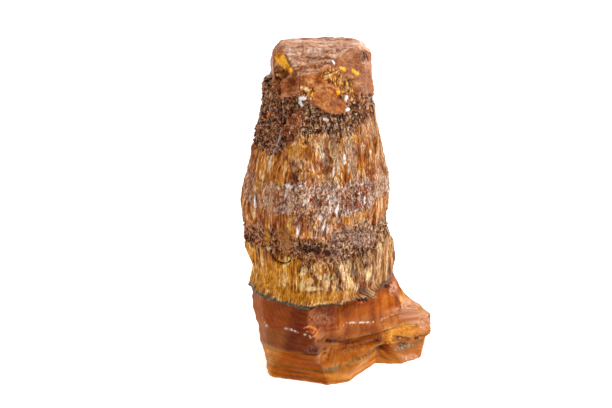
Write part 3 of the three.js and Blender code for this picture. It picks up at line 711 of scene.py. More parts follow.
bands = {  # heights that part the bands of the stone, by azimuth
    "darkLowerBottom": {180: 22.5, 222: 22.8, 243: 23, 262: 23, 285: 22.5, 300: 21.8, 335: 21.8, 20: 22, 90: 22},
    "darkLowerTop": {180: 27, 222: 27.2, 243: 26.8, 262: 26, 280: 26.2, 288: 28.6, 310: 28.9, 335: 28,
                     350: 26.6, 20: 27, 90: 27.2},
    "sparklingBottom": {180: 31.5, 240: 31, 300: 30.6, 350: 31, 90: 31.5},
    "sparklingTop": {180: 36, 222: 36, 250: 36.8, 300: 37, 350: 36, 90: 36},
    "darkUpperBottom": {180: 41, 205: 40.7, 222: 41, 240: 44.5, 266: 45.2, 300: 45.2, 335: 46, 350: 47.5,
                        20: 47, 90: 45, 150: 43},
    "jasperBottom": {180: 53.6, 222: 53.6, 236: 52, 256: 51.6, 266: 51.5, 290: 50, 310: 50.6, 335: 51.2,
                     350: 51, 20: 51, 90: 51.8, 150: 52.6},
    "middle": (-3.2, 0.8),
}
fibreBody = {
    "columns": 424,
    "middle": (-3.2, 0.8),
    "wear": 0.2,  # width of a worn edge
    "blend": 0.2,  # width of the join to a plate
    "plates": stone["plates"][2:],
    "under": lambda x, y, z: z - 13.45,
    "top": 54.6,
    "frontShare": 1.1,
    "frontTurn": 5,
    "outlineHeights": (18, 30, 44),
    "lowRises": (-70, -45, -25, -15, -10.5, -8.6, -7.2, -5.8, -4.4, -2.9, -1.4),
    "heights": np.arange(15, 54.4, 0.19),
    "highRises": (2, 12, 40),
    "sparkle": {180: 0.25, 230: 0.3, 246: 0.9, 290: 1, 315: 0.8, 335: 0.6, 20: 0.4, 90: 0.6, 150: 0.4},
    "bundleRelief": 0.16,  # rounded bundles 1.2 mm wide
    "strandRelief": 0.2,  # strands 0.5 mm wide
    "threadRelief": 0.16,
    "terraceRelief": 0.3,  # broken layers, in five steps
    "shingleRelief": 0.34,  # broken layers that hang one over the other
    "shinglePitch": 3.2,
    "curlRelief": 0.3,
    "darkRecess": 0.3,
    "darkGrain": 0.6,
    "smoothSides": {180: 0.9, 222: 0.9, 240: 0.7, 252: 0.1, 320: 0, 338: 0.5, 350: 0.8, 20: 0.6, 90: 0.2, 150: 0.6},
    "recess": 0.3,  # how far the skin lies under the measured outline
}


# Height of the jasper cap's lower edge at a point: the band's height by azimuth, roughened by soft noise.
def capEdge(point):
    azimuth = np.degrees(np.arctan2(point[1] - bands["middle"][1], point[0] - bands["middle"][0])) % 360
    soft = (grainNoise(point, 1.6, 1.2, 3) - 0.5) * 1.8 + (grainNoise(point, 0.5, 0.9, 4) - 0.5) * 2.6
    return aroundTable(bands["jasperBottom"], azimuth) - soft


# Shares of the bands at each point. Each band lies between two heights that follow the azimuth, and the
# heights jump up and down from one bundle of fibres to the next.
def bandShares(point):
    azimuth = np.degrees(np.arctan2(point[1] - bands["middle"][1], point[0] - bands["middle"][0])) % 360
    jag = (grainNoise(point, 0.8, 14, 1) - 0.5) * 1.3 + (grainNoise(point, 0.35, 4, 2) - 0.5) * 1.3
    jag = jag + (grainNoise(point, 0.4, 0.5, 5) - 0.5) * 1.4
    names = ("ochreFibre", "darkLower", "brownGold", "sparkling", "goldFibre", "darkUpper")
    edges = ("darkLowerBottom", "darkLowerTop", "sparklingBottom", "sparklingTop", "darkUpperBottom")
    shares = {}
    left = np.ones_like(point[2])
    for name, edge in zip(names[:0:-1], edges[::-1]):
        reached = above(point[2] + jag, aroundTable(bands[edge], azimuth), 0.35)
        shares[name] = left * reached
        left = left * (1 - reached)
    shares["ochreFibre"] = left
    return shares, azimuth


# Bundle, strand and thread relief: |2n - 1| of long noise, which has rounded backs between sharp grooves.
# Terraces are noise cut to five steps. Curls are the square of 1 - |2n - 1|, thin raised rims.
def fibreRelief(point, shares, sparkle, shingle, broken, kit):
    fold = lambda across, up, seed: np.abs(2 * grainNoise(point, across, up, seed) - 1)
    steps = grainNoise(point, 0.8, 1.6, 14) * 5
    terraces = (np.floor(steps) + np.clip((steps % 1 - 0.4) * 5, 0, 1)) / 5
    silky = (
        kit["bundleRelief"] * fold(0.8, 6, 11)
        + kit["strandRelief"] * fold(0.3, 2.2, 12)
        + kit["threadRelief"] * fold(0.2, 0.8, 13)
        + kit["terraceRelief"] * (terraces - 0.5)
    )
    curl = kit["curlRelief"] * (1 - fold(0.4, 0.55, 15)) ** 2 + 0.16 * (1 - fold(0.22, 0.3, 16)) ** 2
    grain = (
        kit["darkGrain"] * (grainNoise(point, 0.36, 0.5, 17) - 0.5)
        + 0.3 * (grainNoise(point, 0.2, 0.24, 18) - 0.5)
        - kit["darkRecess"]
    )
    curly = shares["sparkling"] * sparkle
    dark = shares["darkLower"] + shares["darkUpper"]
    fibrous = 1 - curly - dark
    return (
        silky * (fibrous + 0.4 * curly + 0.5 * dark)
        + kit["shingleRelief"] * broken * (1 - 0.6 * dark) * ((1 - shingle) ** 2 - 0.35)
        + curl * (curly + 0.2 * fibrous)
        + grain * dark
        - kit["recess"]
    )


# Broken layers that hang like shingles: how far up its own layer a point is, from its lower lip at 0 to the
# next lip at 1. The height over the layers' pitch is shifted by noise, so that the lips are ragged.
def shingleShare(point, pitch):
    ragged = 2.4 * grainNoise(point, 0.9, 7, 27) + 1.3 * grainNoise(point, 0.32, 3, 28) + 0.5 * grainNoise(point, 0.2, 1, 29)
    return (point[2] / pitch + ragged) % 1


# Shifts a point sideways before its noise is read, so that fibres wander and lean with height.
def wandered(point):
    x, y, z = point
    lean = 0.45 * (z - 41) * np.exp(-((x + 0.3) ** 2 + (z - 41) ** 2) / 14)
    return np.stack((
        x + lean + 0.9 * (valueNoise(x / 5, y / 5, z / 6, 31) - 0.5) + 0.3 * (valueNoise(x, y, z / 2, 33) - 0.5),
        y + 0.9 * (valueNoise(x / 5, y / 5, z / 6, 32) - 0.5),
        z,
    ))


print("fibre body: skin", flush=True)
bodyGrid = stoneSkin(fibreBody)
bodyOut = outOfGrid(bodyGrid)[0]
bodyPoint = bodyGrid.reshape(-1, 3).T
wanderedPoint = wandered(bodyPoint)
bodyShares, bodyAzimuth = bandShares(wanderedPoint)
bodySparkle = aroundTable(fibreBody["sparkle"], bodyAzimuth)
smoothShare = aroundTable(fibreBody["smoothSides"], bodyAzimuth)
broken = 1 - smoothShare
bodyShingle = shingleShare(wanderedPoint, fibreBody["shinglePitch"])
bodyRelief = fibreRelief(wanderedPoint, bodyShares, bodySparkle, bodyShingle, broken, fibreBody)

# How busy the surface is, from silky to full of grains: by side, by band and in patches.
curlyShare = bodyShares["sparkling"] * bodySparkle
darkShare = bodyShares["darkLower"] + bodyShares["darkUpper"]
patchTone = grainNoise(wanderedPoint, 1.5, 3, 45) - 0.5
busy = 0.3 + 0.25 * broken + 1.6 * patchTone * broken + 0.6 * curlyShare + 0.7 * darkShare
busy = np.clip(busy - 0.2 * bodyShares["ochreFibre"], 0.15, 1)
bodyRelief = (bodyRelief + fibreBody["recess"]) * (0.35 + 0.65 * busy) - fibreBody["recess"]

# Tones: noise about the middle, long and short along the fibres, lifted on ridges and lowered in grooves as painted
# light and shade.
longTone = grainNoise(wanderedPoint, 0.17, 1.9, 41) - 0.5
shortTone = grainNoise(wanderedPoint, 0.16, 0.5, 42) - 0.5
wideTone = grainNoise(wanderedPoint, 1.2, 3.4, 43) - 0.5
grainTone = grainNoise(wanderedPoint, 0.16, 0.18, 44) - 0.5
lumpTone = grainNoise(wanderedPoint, 0.42, 0.5, 47) - 0.5
hairTone = np.clip(1 - 4 * np.abs(grainNoise(wanderedPoint, 0.28, 2.6, 48) - 0.5), 0, 1)
# Shingles: painted light along each lower lip, painted shade just under the lip above.
lipLightAndShade = above(1 - bodyShingle, 0.72, 0.3) - 1.5 * above(bodyShingle, 0.87, 0.1)
silkTone = grainNoise(wanderedPoint, 0.2, 4.5, 46) - 0.5
fibreTone = 0.42 + (1.1 - 0.5 * busy) * silkTone + (0.4 + 0.5 * busy) * longTone + 1.3 * busy * shortTone + 0.7 * wideTone + 0.9 * busy * lumpTone
fibreTone = fibreTone + 0.12 * hairTone + 0.4 * (bodyRelief + 0.2) + 0.3 * busy * broken * lipLightAndShade
darkTone = 0.4 + 2.2 * grainTone + 1.0 * shortTone + 1.1 * lumpTone + 0.3 * longTone + 0.4 * (bodyRelief + 0.6)
sparkTone = 0.4 + 1.2 * shortTone + 1.4 * grainTone + 1.0 * lumpTone + 0.7 * (bodyRelief + 0.1)
sparkTone = sparkTone - 0.13 * above(bodyAzimuth, 290, 12)
bodyColour = 0
for bandName, share in bodyShares.items():
    tone = {"darkLower": darkTone, "darkUpper": darkTone, "sparkling": sparkTone}.get(bandName, fibreTone)
    bodyColour = bodyColour + share[:, None] * shadeColour(bandName, np.clip(tone, 0, 1))
tanShare = above(grainNoise(wanderedPoint, 1.7, 4.5, 50), 0.62, 0.3) * bodyShares["goldFibre"]
tanShare = tanShare + 0.6 * above(grainNoise(wanderedPoint, 1.2, 2.4, 40), 0.62, 0.3) * bodyShares["brownGold"]
bodyColour += (0.45 * tanShare)[:, None] * (shadeColour("rightFibre", np.clip(fibreTone, 0, 1)) - bodyColour)
tanRight = bodyShares["ochreFibre"] * above(np.cos(np.radians(bodyAzimuth + 20)), 0.35, 0.5)
bodyColour += (0.75 * tanRight)[:, None] * (shadeColour("rightFibre", np.clip(fibreTone - 0.24, 0, 1)) - bodyColour)
turnedShare = above(np.cos(np.radians(bodyAzimuth)), 0, 1)
sideColour = shadeColour("leftFibre", np.clip(fibreTone, 0, 1)) * (1 - turnedShare[:, None])
sideColour += shadeColour("rightFibre", np.clip(fibreTone, 0, 1)) * turnedShare[:, None]
fibrousShare = 1 - darkShare - 0.7 * bodyShares["ochreFibre"]
bodyColour += (0.7 * smoothShare * fibrousShare)[:, None] * (sideColour - bodyColour)
silverShare = np.clip(0.1 + 2.2 * (grainNoise(wanderedPoint, 0.3, 1, 49) - 0.5), 0, 1)
silverShare *= 0.08 + 0.12 * broken + 0.04 * bodyShares["sparkling"]
silverColour = (bodyColour @ np.array([0.3, 0.59, 0.11]))[:, None] * np.array([1.16, 0.97, 0.9])
bodyColour += silverShare[:, None] * (silverColour - bodyColour)

# Curled rims: pale loops along the middle level of a noise, over the busiest parts, painted as glints in the white
# glint shade.
loop = np.clip(1 - 7 * np.abs(grainNoise(wanderedPoint, 0.4, 0.5, 34) - 0.5), 0, 1)
loop = np.maximum(loop, 0.8 * np.clip(1 - 7 * np.abs(grainNoise(wanderedPoint, 0.26, 0.3, 35) - 0.5), 0, 1))
creamShare = above(grainNoise(wanderedPoint, 0.34, 0.7, 39), 0.66, 0.14) * bodyShares["ochreFibre"]
creamShare *= 0.7 * above(grainNoise(wanderedPoint, 1.8, 2, 30), 0.45, 0.2) * above(bodyAzimuth, 256, 12)
bodyColour += creamShare[:, None] * (shadeColour("cream", np.clip(0.6 + 2 * grainTone, 0, 1)) - bodyColour)
loopShare = loop * above(grainNoise(wanderedPoint, 0.9, 0.8, 36), 0.45, 0.3)
loopShare *= np.clip(curlyShare + 0.45 * above(busy, 0.55, 0.3) * fibrousShare, 0, 1)
bodyColour += (0.85 * loopShare)[:, None] * (shadeColour("whiteGlint", np.clip(0.5 + 2 * grainTone, 0, 1)) - bodyColour)
shelfShare = above(insidePlate(*bodyPoint, stone["plates"][2]), -0.2, 0.2)
bodyColour += 0.8 * shelfShare[:, None] * (shadeColour("tongueBrown", np.clip(0.3 + 2 * lumpTone, 0, 1)) - bodyColour)
seamShare = 1 - above(bodyPoint[2] + 0.25 * longTone, 14.25, 0.2)
bodyColour += seamShare[:, None] * (shadeColour("seamLine", np.clip(0.4 + 1.6 * grainTone, 0, 1)) - bodyColour)
darkLeft = (darkShare * above(240 - bodyAzimuth, 0, 20) * above(bodyAzimuth, 90, 20))[:, None]
bodyColour *= 1 - darkLeft * np.array([0.12, 0.3, 0.4])
# Painted shade on the side turned to the right, which the lamps light more strongly.
rightSideShade = above(np.cos(np.radians(bodyAzimuth + 5)), 0.45, 0.5)[:, None]
bodyColour *= 1 - rightSideShade * np.array([0.18, 0.14, 0.1])
# Painted shade in the body's hollows: less green and blue where the stone closes round.
bodyHollowShade = hollowness(bodyGrid, bodyOut, fibreBody, 1.2)
bodyColour *= 1 - bodyHollowShade[:, None] * np.array([0, 0.2, 0.4])
bodyGloss = 0.5 - 0.1 * shortTone
bodyCovered = layMarkings(bodyGrid, bodyOut, bodyColour, bodyRelief, bodyGloss)
edgeFade = above(bodyPoint[2], 13.75, 0.4)
underCap = above(bodyPoint[2], capEdge(bodyPoint) + 0.2, 0.8)
bodyRelief = bodyRelief * edgeFade - 0.5 * underCap
bodyDressed = bodyGrid + bodyOut * bodyRelief.reshape(bodyGrid.shape[:2])[..., None]
print("fibre body: range", bodyDressed.reshape(-1, 3).min(0), bodyDressed.reshape(-1, 3).max(0), flush=True)

jasperCap = {
    "columns": 400,
    "middle": (-3.2, 0.8),
    "wear": 0.14,
    "blend": 0.9,
    "plates": stone["plates"][:2],
    "under": lambda x, y, z: capBottom(x, y, z),
    "top": 70,
    "frontShare": 1.3,
    "frontTurn": 5,
    "outlineHeights": (54.5, 56.5),
    "lowRises": np.concatenate(((-84, -72, -62, -54), np.arange(-48, 0, 1))),
    "heights": np.arange(54.5, 56.5, 0.17),
    "highRises": np.concatenate((np.arange(1.2, 36, 0.9), np.arange(36.5, 89, 1.3))),
}


# Height above the cap's underside: over its ragged lower edge, or inside one of the plates that hang from it.
def capBottom(x, y, z):
    depth = z - capEdge((x, y, z))
    for plate in jasperCap["plates"]:
        depth = higher(depth, insidePlate(x, y, z, plate), 0.2)
    return depth


# Relief of the cap: swells, low steps of bedding that run level, and fine grain.
def capRelief(point, level):
    swell = 0.22 * (grainNoise(point, 2.6, 1.8, 19) - 0.5) + 0.1 * (grainNoise(point, 0.8, 0.6, 20) - 0.5)
    steps = 0.16 * (valueNoise(point[0] / 3.4, point[1] / 3.4, level / 0.45, 21) - 0.5)
    return swell + steps + 0.05 * (grainNoise(point, 0.3, 0.25, 22) - 0.5) - 0.1


print("jasper cap: skin", flush=True)
capGrid = stoneSkin(jasperCap)
capOut = outOfGrid(capGrid)[0]
capPoint = capGrid.reshape(-1, 3).T
capLevel = capPoint[2] + 0.7 * capPoint[1] + 1.2 * (grainNoise(capPoint, 2.4, 3, 23) - 0.5)
capRise = capRelief(capPoint, capLevel)
capStreak = valueNoise(capPoint[0] / 3.2, capPoint[1] / 3.2, capLevel / 0.35, 24) - 0.5
capCloud = grainNoise(capPoint, 1.7, 1.2, 25) - 0.5
capSpeck = grainNoise(capPoint, 0.3, 0.25, 26) - 0.5
# The tone rises with the relief: painted light on raised parts and painted shade in low ones.
capTone = np.clip(0.48 + 0.3 * capStreak + 0.6 * capCloud + 0.6 * capSpeck + 0.8 * (capRise + 0.1), 0, 1)
rippleTone = np.clip(capTone + 0.5 * capStreak + 0.3 * capSpeck, 0, 1)
capTint = shadeColour("warmJasper", capTone)
slant = capPoint[2] + 0.8 * capPoint[0]
hatch = valueNoise(slant / 0.35, slant / 0.35, (capPoint[0] - 0.8 * capPoint[2]) / 2.5, 29) - 0.5
for plate, name in zip(jasperCap["plates"], ("tongueBrown", "blockBrown")):
    onPlate = above(insidePlate(*capPoint, plate), -0.25, 0.2)
    plateTone = np.clip(1.5 * capTone - 0.26 + 0.5 * hatch, 0, 1)
    capTint += onPlate[:, None] * (shadeColour(name, plateTone) - capTint)
# Faces turned up take paler shades: painted sheen and top light, with the level ripple streaks.
capUp = capOut[..., 2].ravel() + 0.25 * capCloud
for edge, name in ((0.55, "sheenRippleJasper"), (0.9, "sheenTopJasper")):
    capTint += above(capUp, edge, 0.12)[:, None] * (shadeColour(name, rippleTone) - capTint)
capHue = (grainNoise(capPoint, 0.7, 0.6, 37) + grainNoise(capPoint, 0.25, 0.25, 38) - 1)[:, None]
capTint *= 1 + capHue * np.array([0.2, -0.05, -0.5])
capHollowShade = hollowness(capGrid, capOut, jasperCap, 1.2)
capEdgeHighlight = edginess(capGrid, capOut, jasperCap, 0.4)
# Painted shade in the cap's hollows.
capTint *= 1 - capHollowShade[:, None] * np.array([0.5, 0.6, 0.66])
# Painted highlight along the cap's sharp edges.
capTint += (0.15 * capEdgeHighlight)[:, None] * (shadeColour("sheenTopJasper", capTone) - capTint)
capGloss = 0.45 + 0.2 * capCloud
layMarkings(capGrid, capOut, capTint, capRise, capGloss)
capRise = capRise * above(capPoint[2], capEdge(capPoint) - 1.5, 1)
capDressed = capGrid + capOut * capRise.reshape(capGrid.shape[:2])[..., None]
print("jasper cap: range", capDressed.reshape(-1, 3).min(0), capDressed.reshape(-1, 3).max(0), flush=True)

jasperFoot = {
    "columns": 600,
    "middle": (0.5, 0.5),
    "wear": 0.12,
    "blend": 0.2,
    "plates": (),
    "under": lambda x, y, z: z,
    "top": 13.9,
    "frontShare": 0.6,
    "frontTurn": 10,
    "outlineHeights": (2, 5, 9, 12),
    "lowRises": np.concatenate(((-82, -70, -58, -50, -44), np.arange(-40, -0.5, 0.85))),
    "heights": np.concatenate((np.arange(4.5, 6.5, 0.13), np.arange(6.5, 13.45, 0.19))),
    "highRises": (0.8, 1.6, 2.4, 3.6, 5.5, 9, 16, 32, 60),
    "wave": 0.5,  # how far the layers wave up and down
    "undercut": (3.9, 5.45, 0.45),  # soft layer under the grey line of the recess: from, to, how deep
    # Each face's tint is changed by how it faces: painted shade on the faces turned to the front, painted sheen on the
    # left strip and the slopes, with a change of hue.
    "faceLightAndShade": (  # plane of a face, its lowest height, how it changes the tint
        (stone["footFaces"][0], 0, (0.76, 0.5, 0.03)), (stone["footFaces"][1], 5.5, (0.72, 0.62, 0.4)),
        (stone["footFaces"][2], 5.5, (0.8, 0.72, 0.6)), (stone["footFaces"][3], 0, (1.05, 1.2, 1.6)),
        (stone["footSlope"][0], 5.4, (0.85, 0.9, 1.2)), (stone["footSlope"][1], 5.4, (1.7, 2.7, 5)),
    ),
}


# Relief of struck jasper: low swells, shell ripples that run out from a struck point, thin layers that
# break back in steps below the grey line, and a fine grain.
def footRelief(point, grid):
    x, y, z = point
    swell = 0.3 * (grainNoise(point, 3.2, 2.4, 51) - 0.5) + 0.12 * (grainNoise(point, 1.1, 0.8, 52) - 0.5)
    radius = np.sqrt((x + 6) ** 2 + (y + 11) ** 2 + (z - 16.5) ** 2)
    ripple = 0.02 * np.sin(7 * radius + 5 * grainNoise(point, 2, 2, 53)) * above(z, 6, 2)
    layers = (grainNoise(point, 5, 0.42, 54) - 0.5) * 0.22 * (1 - above(z, 5.4, 1.5))
    fine = 0.025 * (grainNoise(point, 0.35, 0.3, 55) - 0.5)
    crumbly = above(x, 8.6, 1.2) * above(z, 3.3, 0.3) * (1 - above(z, 5.7, 0.3))
    crumbs = 0.35 * (grainNoise(point, 1.4, 0.7, 56) - 0.5) + 0.06 * (grainNoise(point, 0.4, 0.3, 57) - 0.5)
    low, high, deep = grid["undercut"]
    recessed = above(x - 0.5 * y, 3.4, 0.8) * (1 - above(x, 9.4, 1)) * above(z, low, 0.5) * (1 - above(z, high, 0.12))
    return swell + ripple + layers + fine + crumbly * crumbs - deep * recessed, crumbly, recessed


# Colour of the foot: level layers by height, waved a little, from low ochre up to red jasper, with grey lines
# between them, yellow on the crumbly ledge; painted shade on the front faces, painted sheen on the slope to the right.
def footColour(point, relief, crumbly, out, grid):
    x, y, z = point
    waved = z + grid["wave"] * (grainNoise(point, 6, 5, 58) - 0.5) + 0.12 * (grainNoise(point, 0.9, 0.6, 59) - 0.5)
    cloud = grainNoise(point, 2.6, 0.9, 65) - 0.5
    streak = grainNoise(point, 4.5, 0.22, 66) - 0.5
    speck = grainNoise(point, 0.3, 0.25, 67) - 0.5
    sheen = valueNoise((x + 0.6 * y) / 1.3, (x + 0.6 * y) / 1.3, z / 9, 69) - 0.5
    calm = above(-out[:, 0], 0.2, 0.2)
    redTone = 0.5 + (0.5 * cloud + 0.12 * streak + 0.25 * speck) * (1 - 0.75 * calm) + 0.6 * sheen * (1 - calm)
    # The tones rise with the relief: painted light on raised parts and painted shade in low ones.
    redTone = np.clip(redTone + 0.5 * relief, 0, 1)
    ochreTone = np.clip(0.5 + 0.3 * cloud + 0.5 * streak + 0.25 * speck + 0.6 * relief, 0, 1)
    colour = shadeColour("lowOchre", ochreTone)
    for edge, width, name, tone in (
        (2.75, 0.2, "ochreJasper", ochreTone),
        (5.6, 0.15, "purpleJasper", redTone),
        (9.15, 0.8, "redJasper", redTone),
    ):
        colour = colour + above(waved, edge, width)[:, None] * (shadeColour(name, tone) - colour)
    yellow = crumbly * above(out[:, 2] - out[:, 1], 0.2, 0.5)
    colour = colour + yellow[:, None] * (shadeColour("yellowLedge", ochreTone) - colour)
    for height, width, strength in ((2.6, 0.32, 0.8), (5.45, 0.36, 0.85)):
        line = np.exp(-((waved - height) / width * 1.6) ** 4) * strength * np.clip(0.75 + 1.5 * speck, 0, 1)
        line = line * (1 - above(out[:, 2], 0.6, 0.3))
        colour = colour + line[:, None] * (shadeColour("greyStreak", np.clip(0.4 + speck, 0, 1)) - colour)
    seam = above(z + 0.3 * speck, 13.55, 0.2)
    colour = colour + seam[:, None] * (shadeColour("seamLine", np.clip(0.4 + 1.5 * speck, 0, 1)) - colour)
    # Painted light and shade on each listed face.
    for plane, lowest, change in grid["faceLightAndShade"]:
        share = (1 - above(np.abs(behindPlane(x, y, z, plane)), 0.4, 0.3)) * above(waved, lowest, 0.3)
        share = share * above(out @ towards(*plane[3:]), 0.8, 0.2)
        colour = colour * (1 + share[:, None] * (np.array(change) * (1 + 0.22 * streak[:, None]) - 1))
    return colour


print("jasper foot: skin", flush=True)
footGrid = stoneSkin(jasperFoot)
footOut = outOfGrid(footGrid)[0]
footPoint = footGrid.reshape(-1, 3).T
footRise, footCrumbly, footRecessed = footRelief(footPoint, jasperFoot)
footTint = footColour(footPoint, footRise, footCrumbly, footOut.reshape(-1, 3), jasperFoot)
footHollowShade = hollowness(footGrid, footOut, jasperFoot, 1.6)
footEdgeHighlight = edginess(footGrid, footOut, jasperFoot, 0.4)
footTint *= 1 - footRecessed[:, None] * np.array([0.12, 0.25, 0.7])
# Painted shade in the foot's hollows, weaker in the undercut layer.
footTint *= 1 - (footHollowShade * (1 - 0.8 * footRecessed))[:, None] * np.array([0.45, 0.55, 0.62])
# Painted highlight along the foot's sharp edges.
footTint += (0.25 * footEdgeHighlight)[:, None] * (shadeColour("warmJasper", np.full(len(footTint), 0.8)) - footTint)
footGloss = 0.42 + 0.25 * footCrumbly + 0.15 * (grainNoise(footPoint, 1.5, 0.8, 68) - 0.5)
layMarkings(footGrid, footOut, footTint, footRise, footGloss)
footRise = footRise * above(footPoint[2], 0.25, 0.5) * (1 - above(footPoint[2], 13.7, 0.3))
footDressed = footGrid + footOut * footRise.reshape(footGrid.shape[:2])[..., None]
footDressed[..., 2] = np.maximum(footDressed[..., 2], 0)
print("jasper foot: range", footDressed.reshape(-1, 3).min(0), footDressed.reshape(-1, 3).max(0), flush=True)


# A node with its settings: names are set as attributes, pairs of input and value as default values.
def addNode(tree, kind, values=(), **settings):
    made = tree.nodes.new(kind)
    for name, value in settings.items():
        setattr(made, name, value)
    for socket, value in values:
        made.inputs[socket].default_value = value
    return made


# The stone's surface: the tint at each point times streaks or grain of noise finer than the mesh, and a bump
# of the same noise. The noise is stretched by the scale of each axis.
def stoneMaterial(name, scale, contrast, bumpStrength, bumpDepth, shine):
    material = bpy.data.materials.new(name)
    material.use_nodes = True
    tree = material.node_tree
    tree.nodes.clear()
    output = addNode(tree, "ShaderNodeOutputMaterial")
    surface = addNode(tree, "ShaderNodeBsdfPrincipled", (("Specular IOR Level", shine),))
    place = addNode(tree, "ShaderNodeTexCoord")
    stretch = addNode(tree, "ShaderNodeMapping", (("Scale", scale),))
    noise = addNode(tree, "ShaderNodeTexNoise", (("Scale", 1.0), ("Detail", 3.0), ("Roughness", 0.6)))
    spread = addNode(tree, "ShaderNodeMapRange", (("From Min", 0.3), ("From Max", 0.7),
                                                  ("To Min", 1 - contrast), ("To Max", 1 + contrast)))
    tint = addNode(tree, "ShaderNodeAttribute", attribute_name="stoneTint")
    rough = addNode(tree, "ShaderNodeAttribute", attribute_name="stoneRough")
    shade = addNode(tree, "ShaderNodeVectorMath", operation="SCALE")
    bump = addNode(tree, "ShaderNodeBump", (("Strength", bumpStrength), ("Distance", bumpDepth)))
    for start, startSocket, end, endSocket in (
        (place, "Object", stretch, "Vector"),
        (stretch, "Vector", noise, "Vector"),
        (noise, "Fac", spread, "Value"),
        (tint, "Color", shade, "Vector"),
        (spread, "Result", shade, "Scale"),
        (shade, "Vector", surface, "Base Color"),
        (rough, "Fac", surface, "Roughness"),
        (noise, "Fac", bump, "Height"),
        (bump, "Normal", surface, "Normal"),
        (surface, "BSDF", output, "Surface"),
    ):
        tree.links.new(start.outputs[startSocket], end.inputs[endSocket])
    return material


fibreFinish = stoneMaterial("silkyFibres", (6500, 6500, 1100), 0.35, 0.5, 0.0001, 0.14)
jasperFinish = stoneMaterial("satinJasper", (3200, 3200, 4200), 0.1, 0.3, 0.00005, 0.1)
splinterFinish = stoneMaterial("fibreSplinters", (6000, 6000, 1500), 0.15, 0.2, 0.00005, 0.2)

for pieceName, grid, dressed, tint, gloss, finish, smooth in (
    ("fibre_body", bodyGrid, bodyDressed, bodyColour, bodyGloss, fibreFinish, False),
    ("jasper_cap", capGrid, capDressed, capTint, capGloss, jasperFinish, True),
    ("jasper_foot", footGrid, footDressed, footTint, footGloss, jasperFinish, True),
):
    mesh = gridMesh(pieceName, dressed, smooth)
    shape = grid.shape[:2]
    placePiece(mesh, withPoles(tint, shape), withPoles(gloss, shape), finish)
    print(pieceName, len(mesh.polygons), "faces", flush=True)

# In each mix, slivers tinted in the glint shades are painted glints, and those in the red gap shade painted shade
# between fibres.
splinters = {
    "count": 33000,
    "halfLength": (0.2, 0.9),
    "halfWidth": (0.03, 0.07),
    "proud": (0.01, 0.05),
    "lean": 4,  # degrees off the fibres' direction
    "lift": 1,
    "mix": {"goldGlint": 0.14, "lilacGlint": 0.04, "whiteGlint": 0.07, "redGap": 0.12},
}
curls = {
    "count": 20000,
    "halfLength": (0.1, 0.3),
    "halfWidth": (0.04, 0.09),
    "proud": (0.04, 0.13),
    "lean": 38,
    "lift": 18,
    "mix": {"goldGlint": 0.14, "whiteGlint": 0.26, "redGap": 0.3},
}
grains = {
    "count": 18000,
    "halfLength": (0.08, 0.2),
    "halfWidth": (0.05, 0.11),
    "proud": (0.05, 0.13),
    "lean": 80,
    "lift": 20,
    "mix": {"lilacGlint": 0.16, "whiteGlint": 0.05, "redGap": 0.26, "goldGlint": 0.08},
}


# Slivers on a surface: a triangle across the middle and a point at each end. Chosen grid points are moved by a
# random share of their cells, the length follows the upright turned by a random lean and lift.
def scatterSlivers(name, kit, grid, weight, busyShare, colour, tones, seed, material):
    random = np.random.default_rng(seed)
    out, area, across, up = outOfGrid(grid)
    weight = np.maximum(weight, 0) * area.ravel()
    chosen = random.choice(weight.size, kit["count"], p=weight / weight.sum())
    shift = random.random((2, kit["count"], 1)) - 0.5
    middle = grid.reshape(-1, 3)[chosen] + across.reshape(-1, 3)[chosen] * shift[0]
    middle = middle + up.reshape(-1, 3)[chosen] * shift[1]
    out = out.reshape(-1, 3)[chosen]
    upright = np.array([0, 0, 1]) - out * out[:, 2:]
    upright /= np.maximum(np.linalg.norm(upright, axis=1), 1e-6)[:, None]
    side = np.cross(upright, out)
    lean = np.radians(kit["lean"]) * random.normal(0, 0.6, (kit["count"], 1))
    lift = np.radians(kit["lift"]) * random.normal(0, 0.6, (kit["count"], 1))
    along = (upright * np.cos(lean) + side * np.sin(lean)) * np.cos(lift) + out * np.sin(lift)
    side = np.cross(along, out)
    side /= np.linalg.norm(side, axis=1)[:, None]
    out = np.cross(side, along)
    low, high = np.array([kit[key] for key in ("halfLength", "halfWidth", "proud")]).T
    halfLength, halfWidth, proud = (low + (high - low) * random.random((kit["count"], 3)) ** 1.5).T[..., None]
    waist = along * halfLength * random.uniform(-0.5, 0.5, (kit["count"], 1))
    corners = np.stack((
        middle + along * halfLength,
        middle + waist + side * halfWidth - out * 0.05,
        middle + waist - side * halfWidth - out * 0.05,
        middle + waist + out * proud,
        middle - along * halfLength,
    ), 1)
    faces = np.array([(0, 3, 1), (0, 1, 2), (0, 2, 3), (4, 1, 3), (4, 2, 1), (4, 3, 2)])
    triangles = (np.arange(kit["count"])[:, None, None] * 5 + faces).reshape(-1, 3)
    mesh = arrayMesh(name, placed(corners.reshape(-1, 3)), triangles, np.zeros((0, 4), int), False)
    busyShare = busyShare[chosen, None]
    factor = 1 + (random.uniform(*tones, (kit["count"], 1)) - 1) * busyShare
    tint = colour[chosen] * factor ** np.array([1, 1.25, 1.6])
    dice = random.random((kit["count"], 1)) / busyShare
    for kind, share in kit["mix"].items():
        picked = (dice >= 0) & (dice < share)
        tint = np.where(picked, 0.3 * tint + 0.7 * shadeColour(kind, random.random(kit["count"])), tint)
        dice = dice - share
    gloss = random.uniform(0.3, 0.5, kit["count"])
    piece = placePiece(mesh, np.repeat(np.clip(tint, 0, 0.95), 5, 0), np.repeat(gloss, 5), material)
    print(name, len(triangles), "faces", flush=True)
    return piece


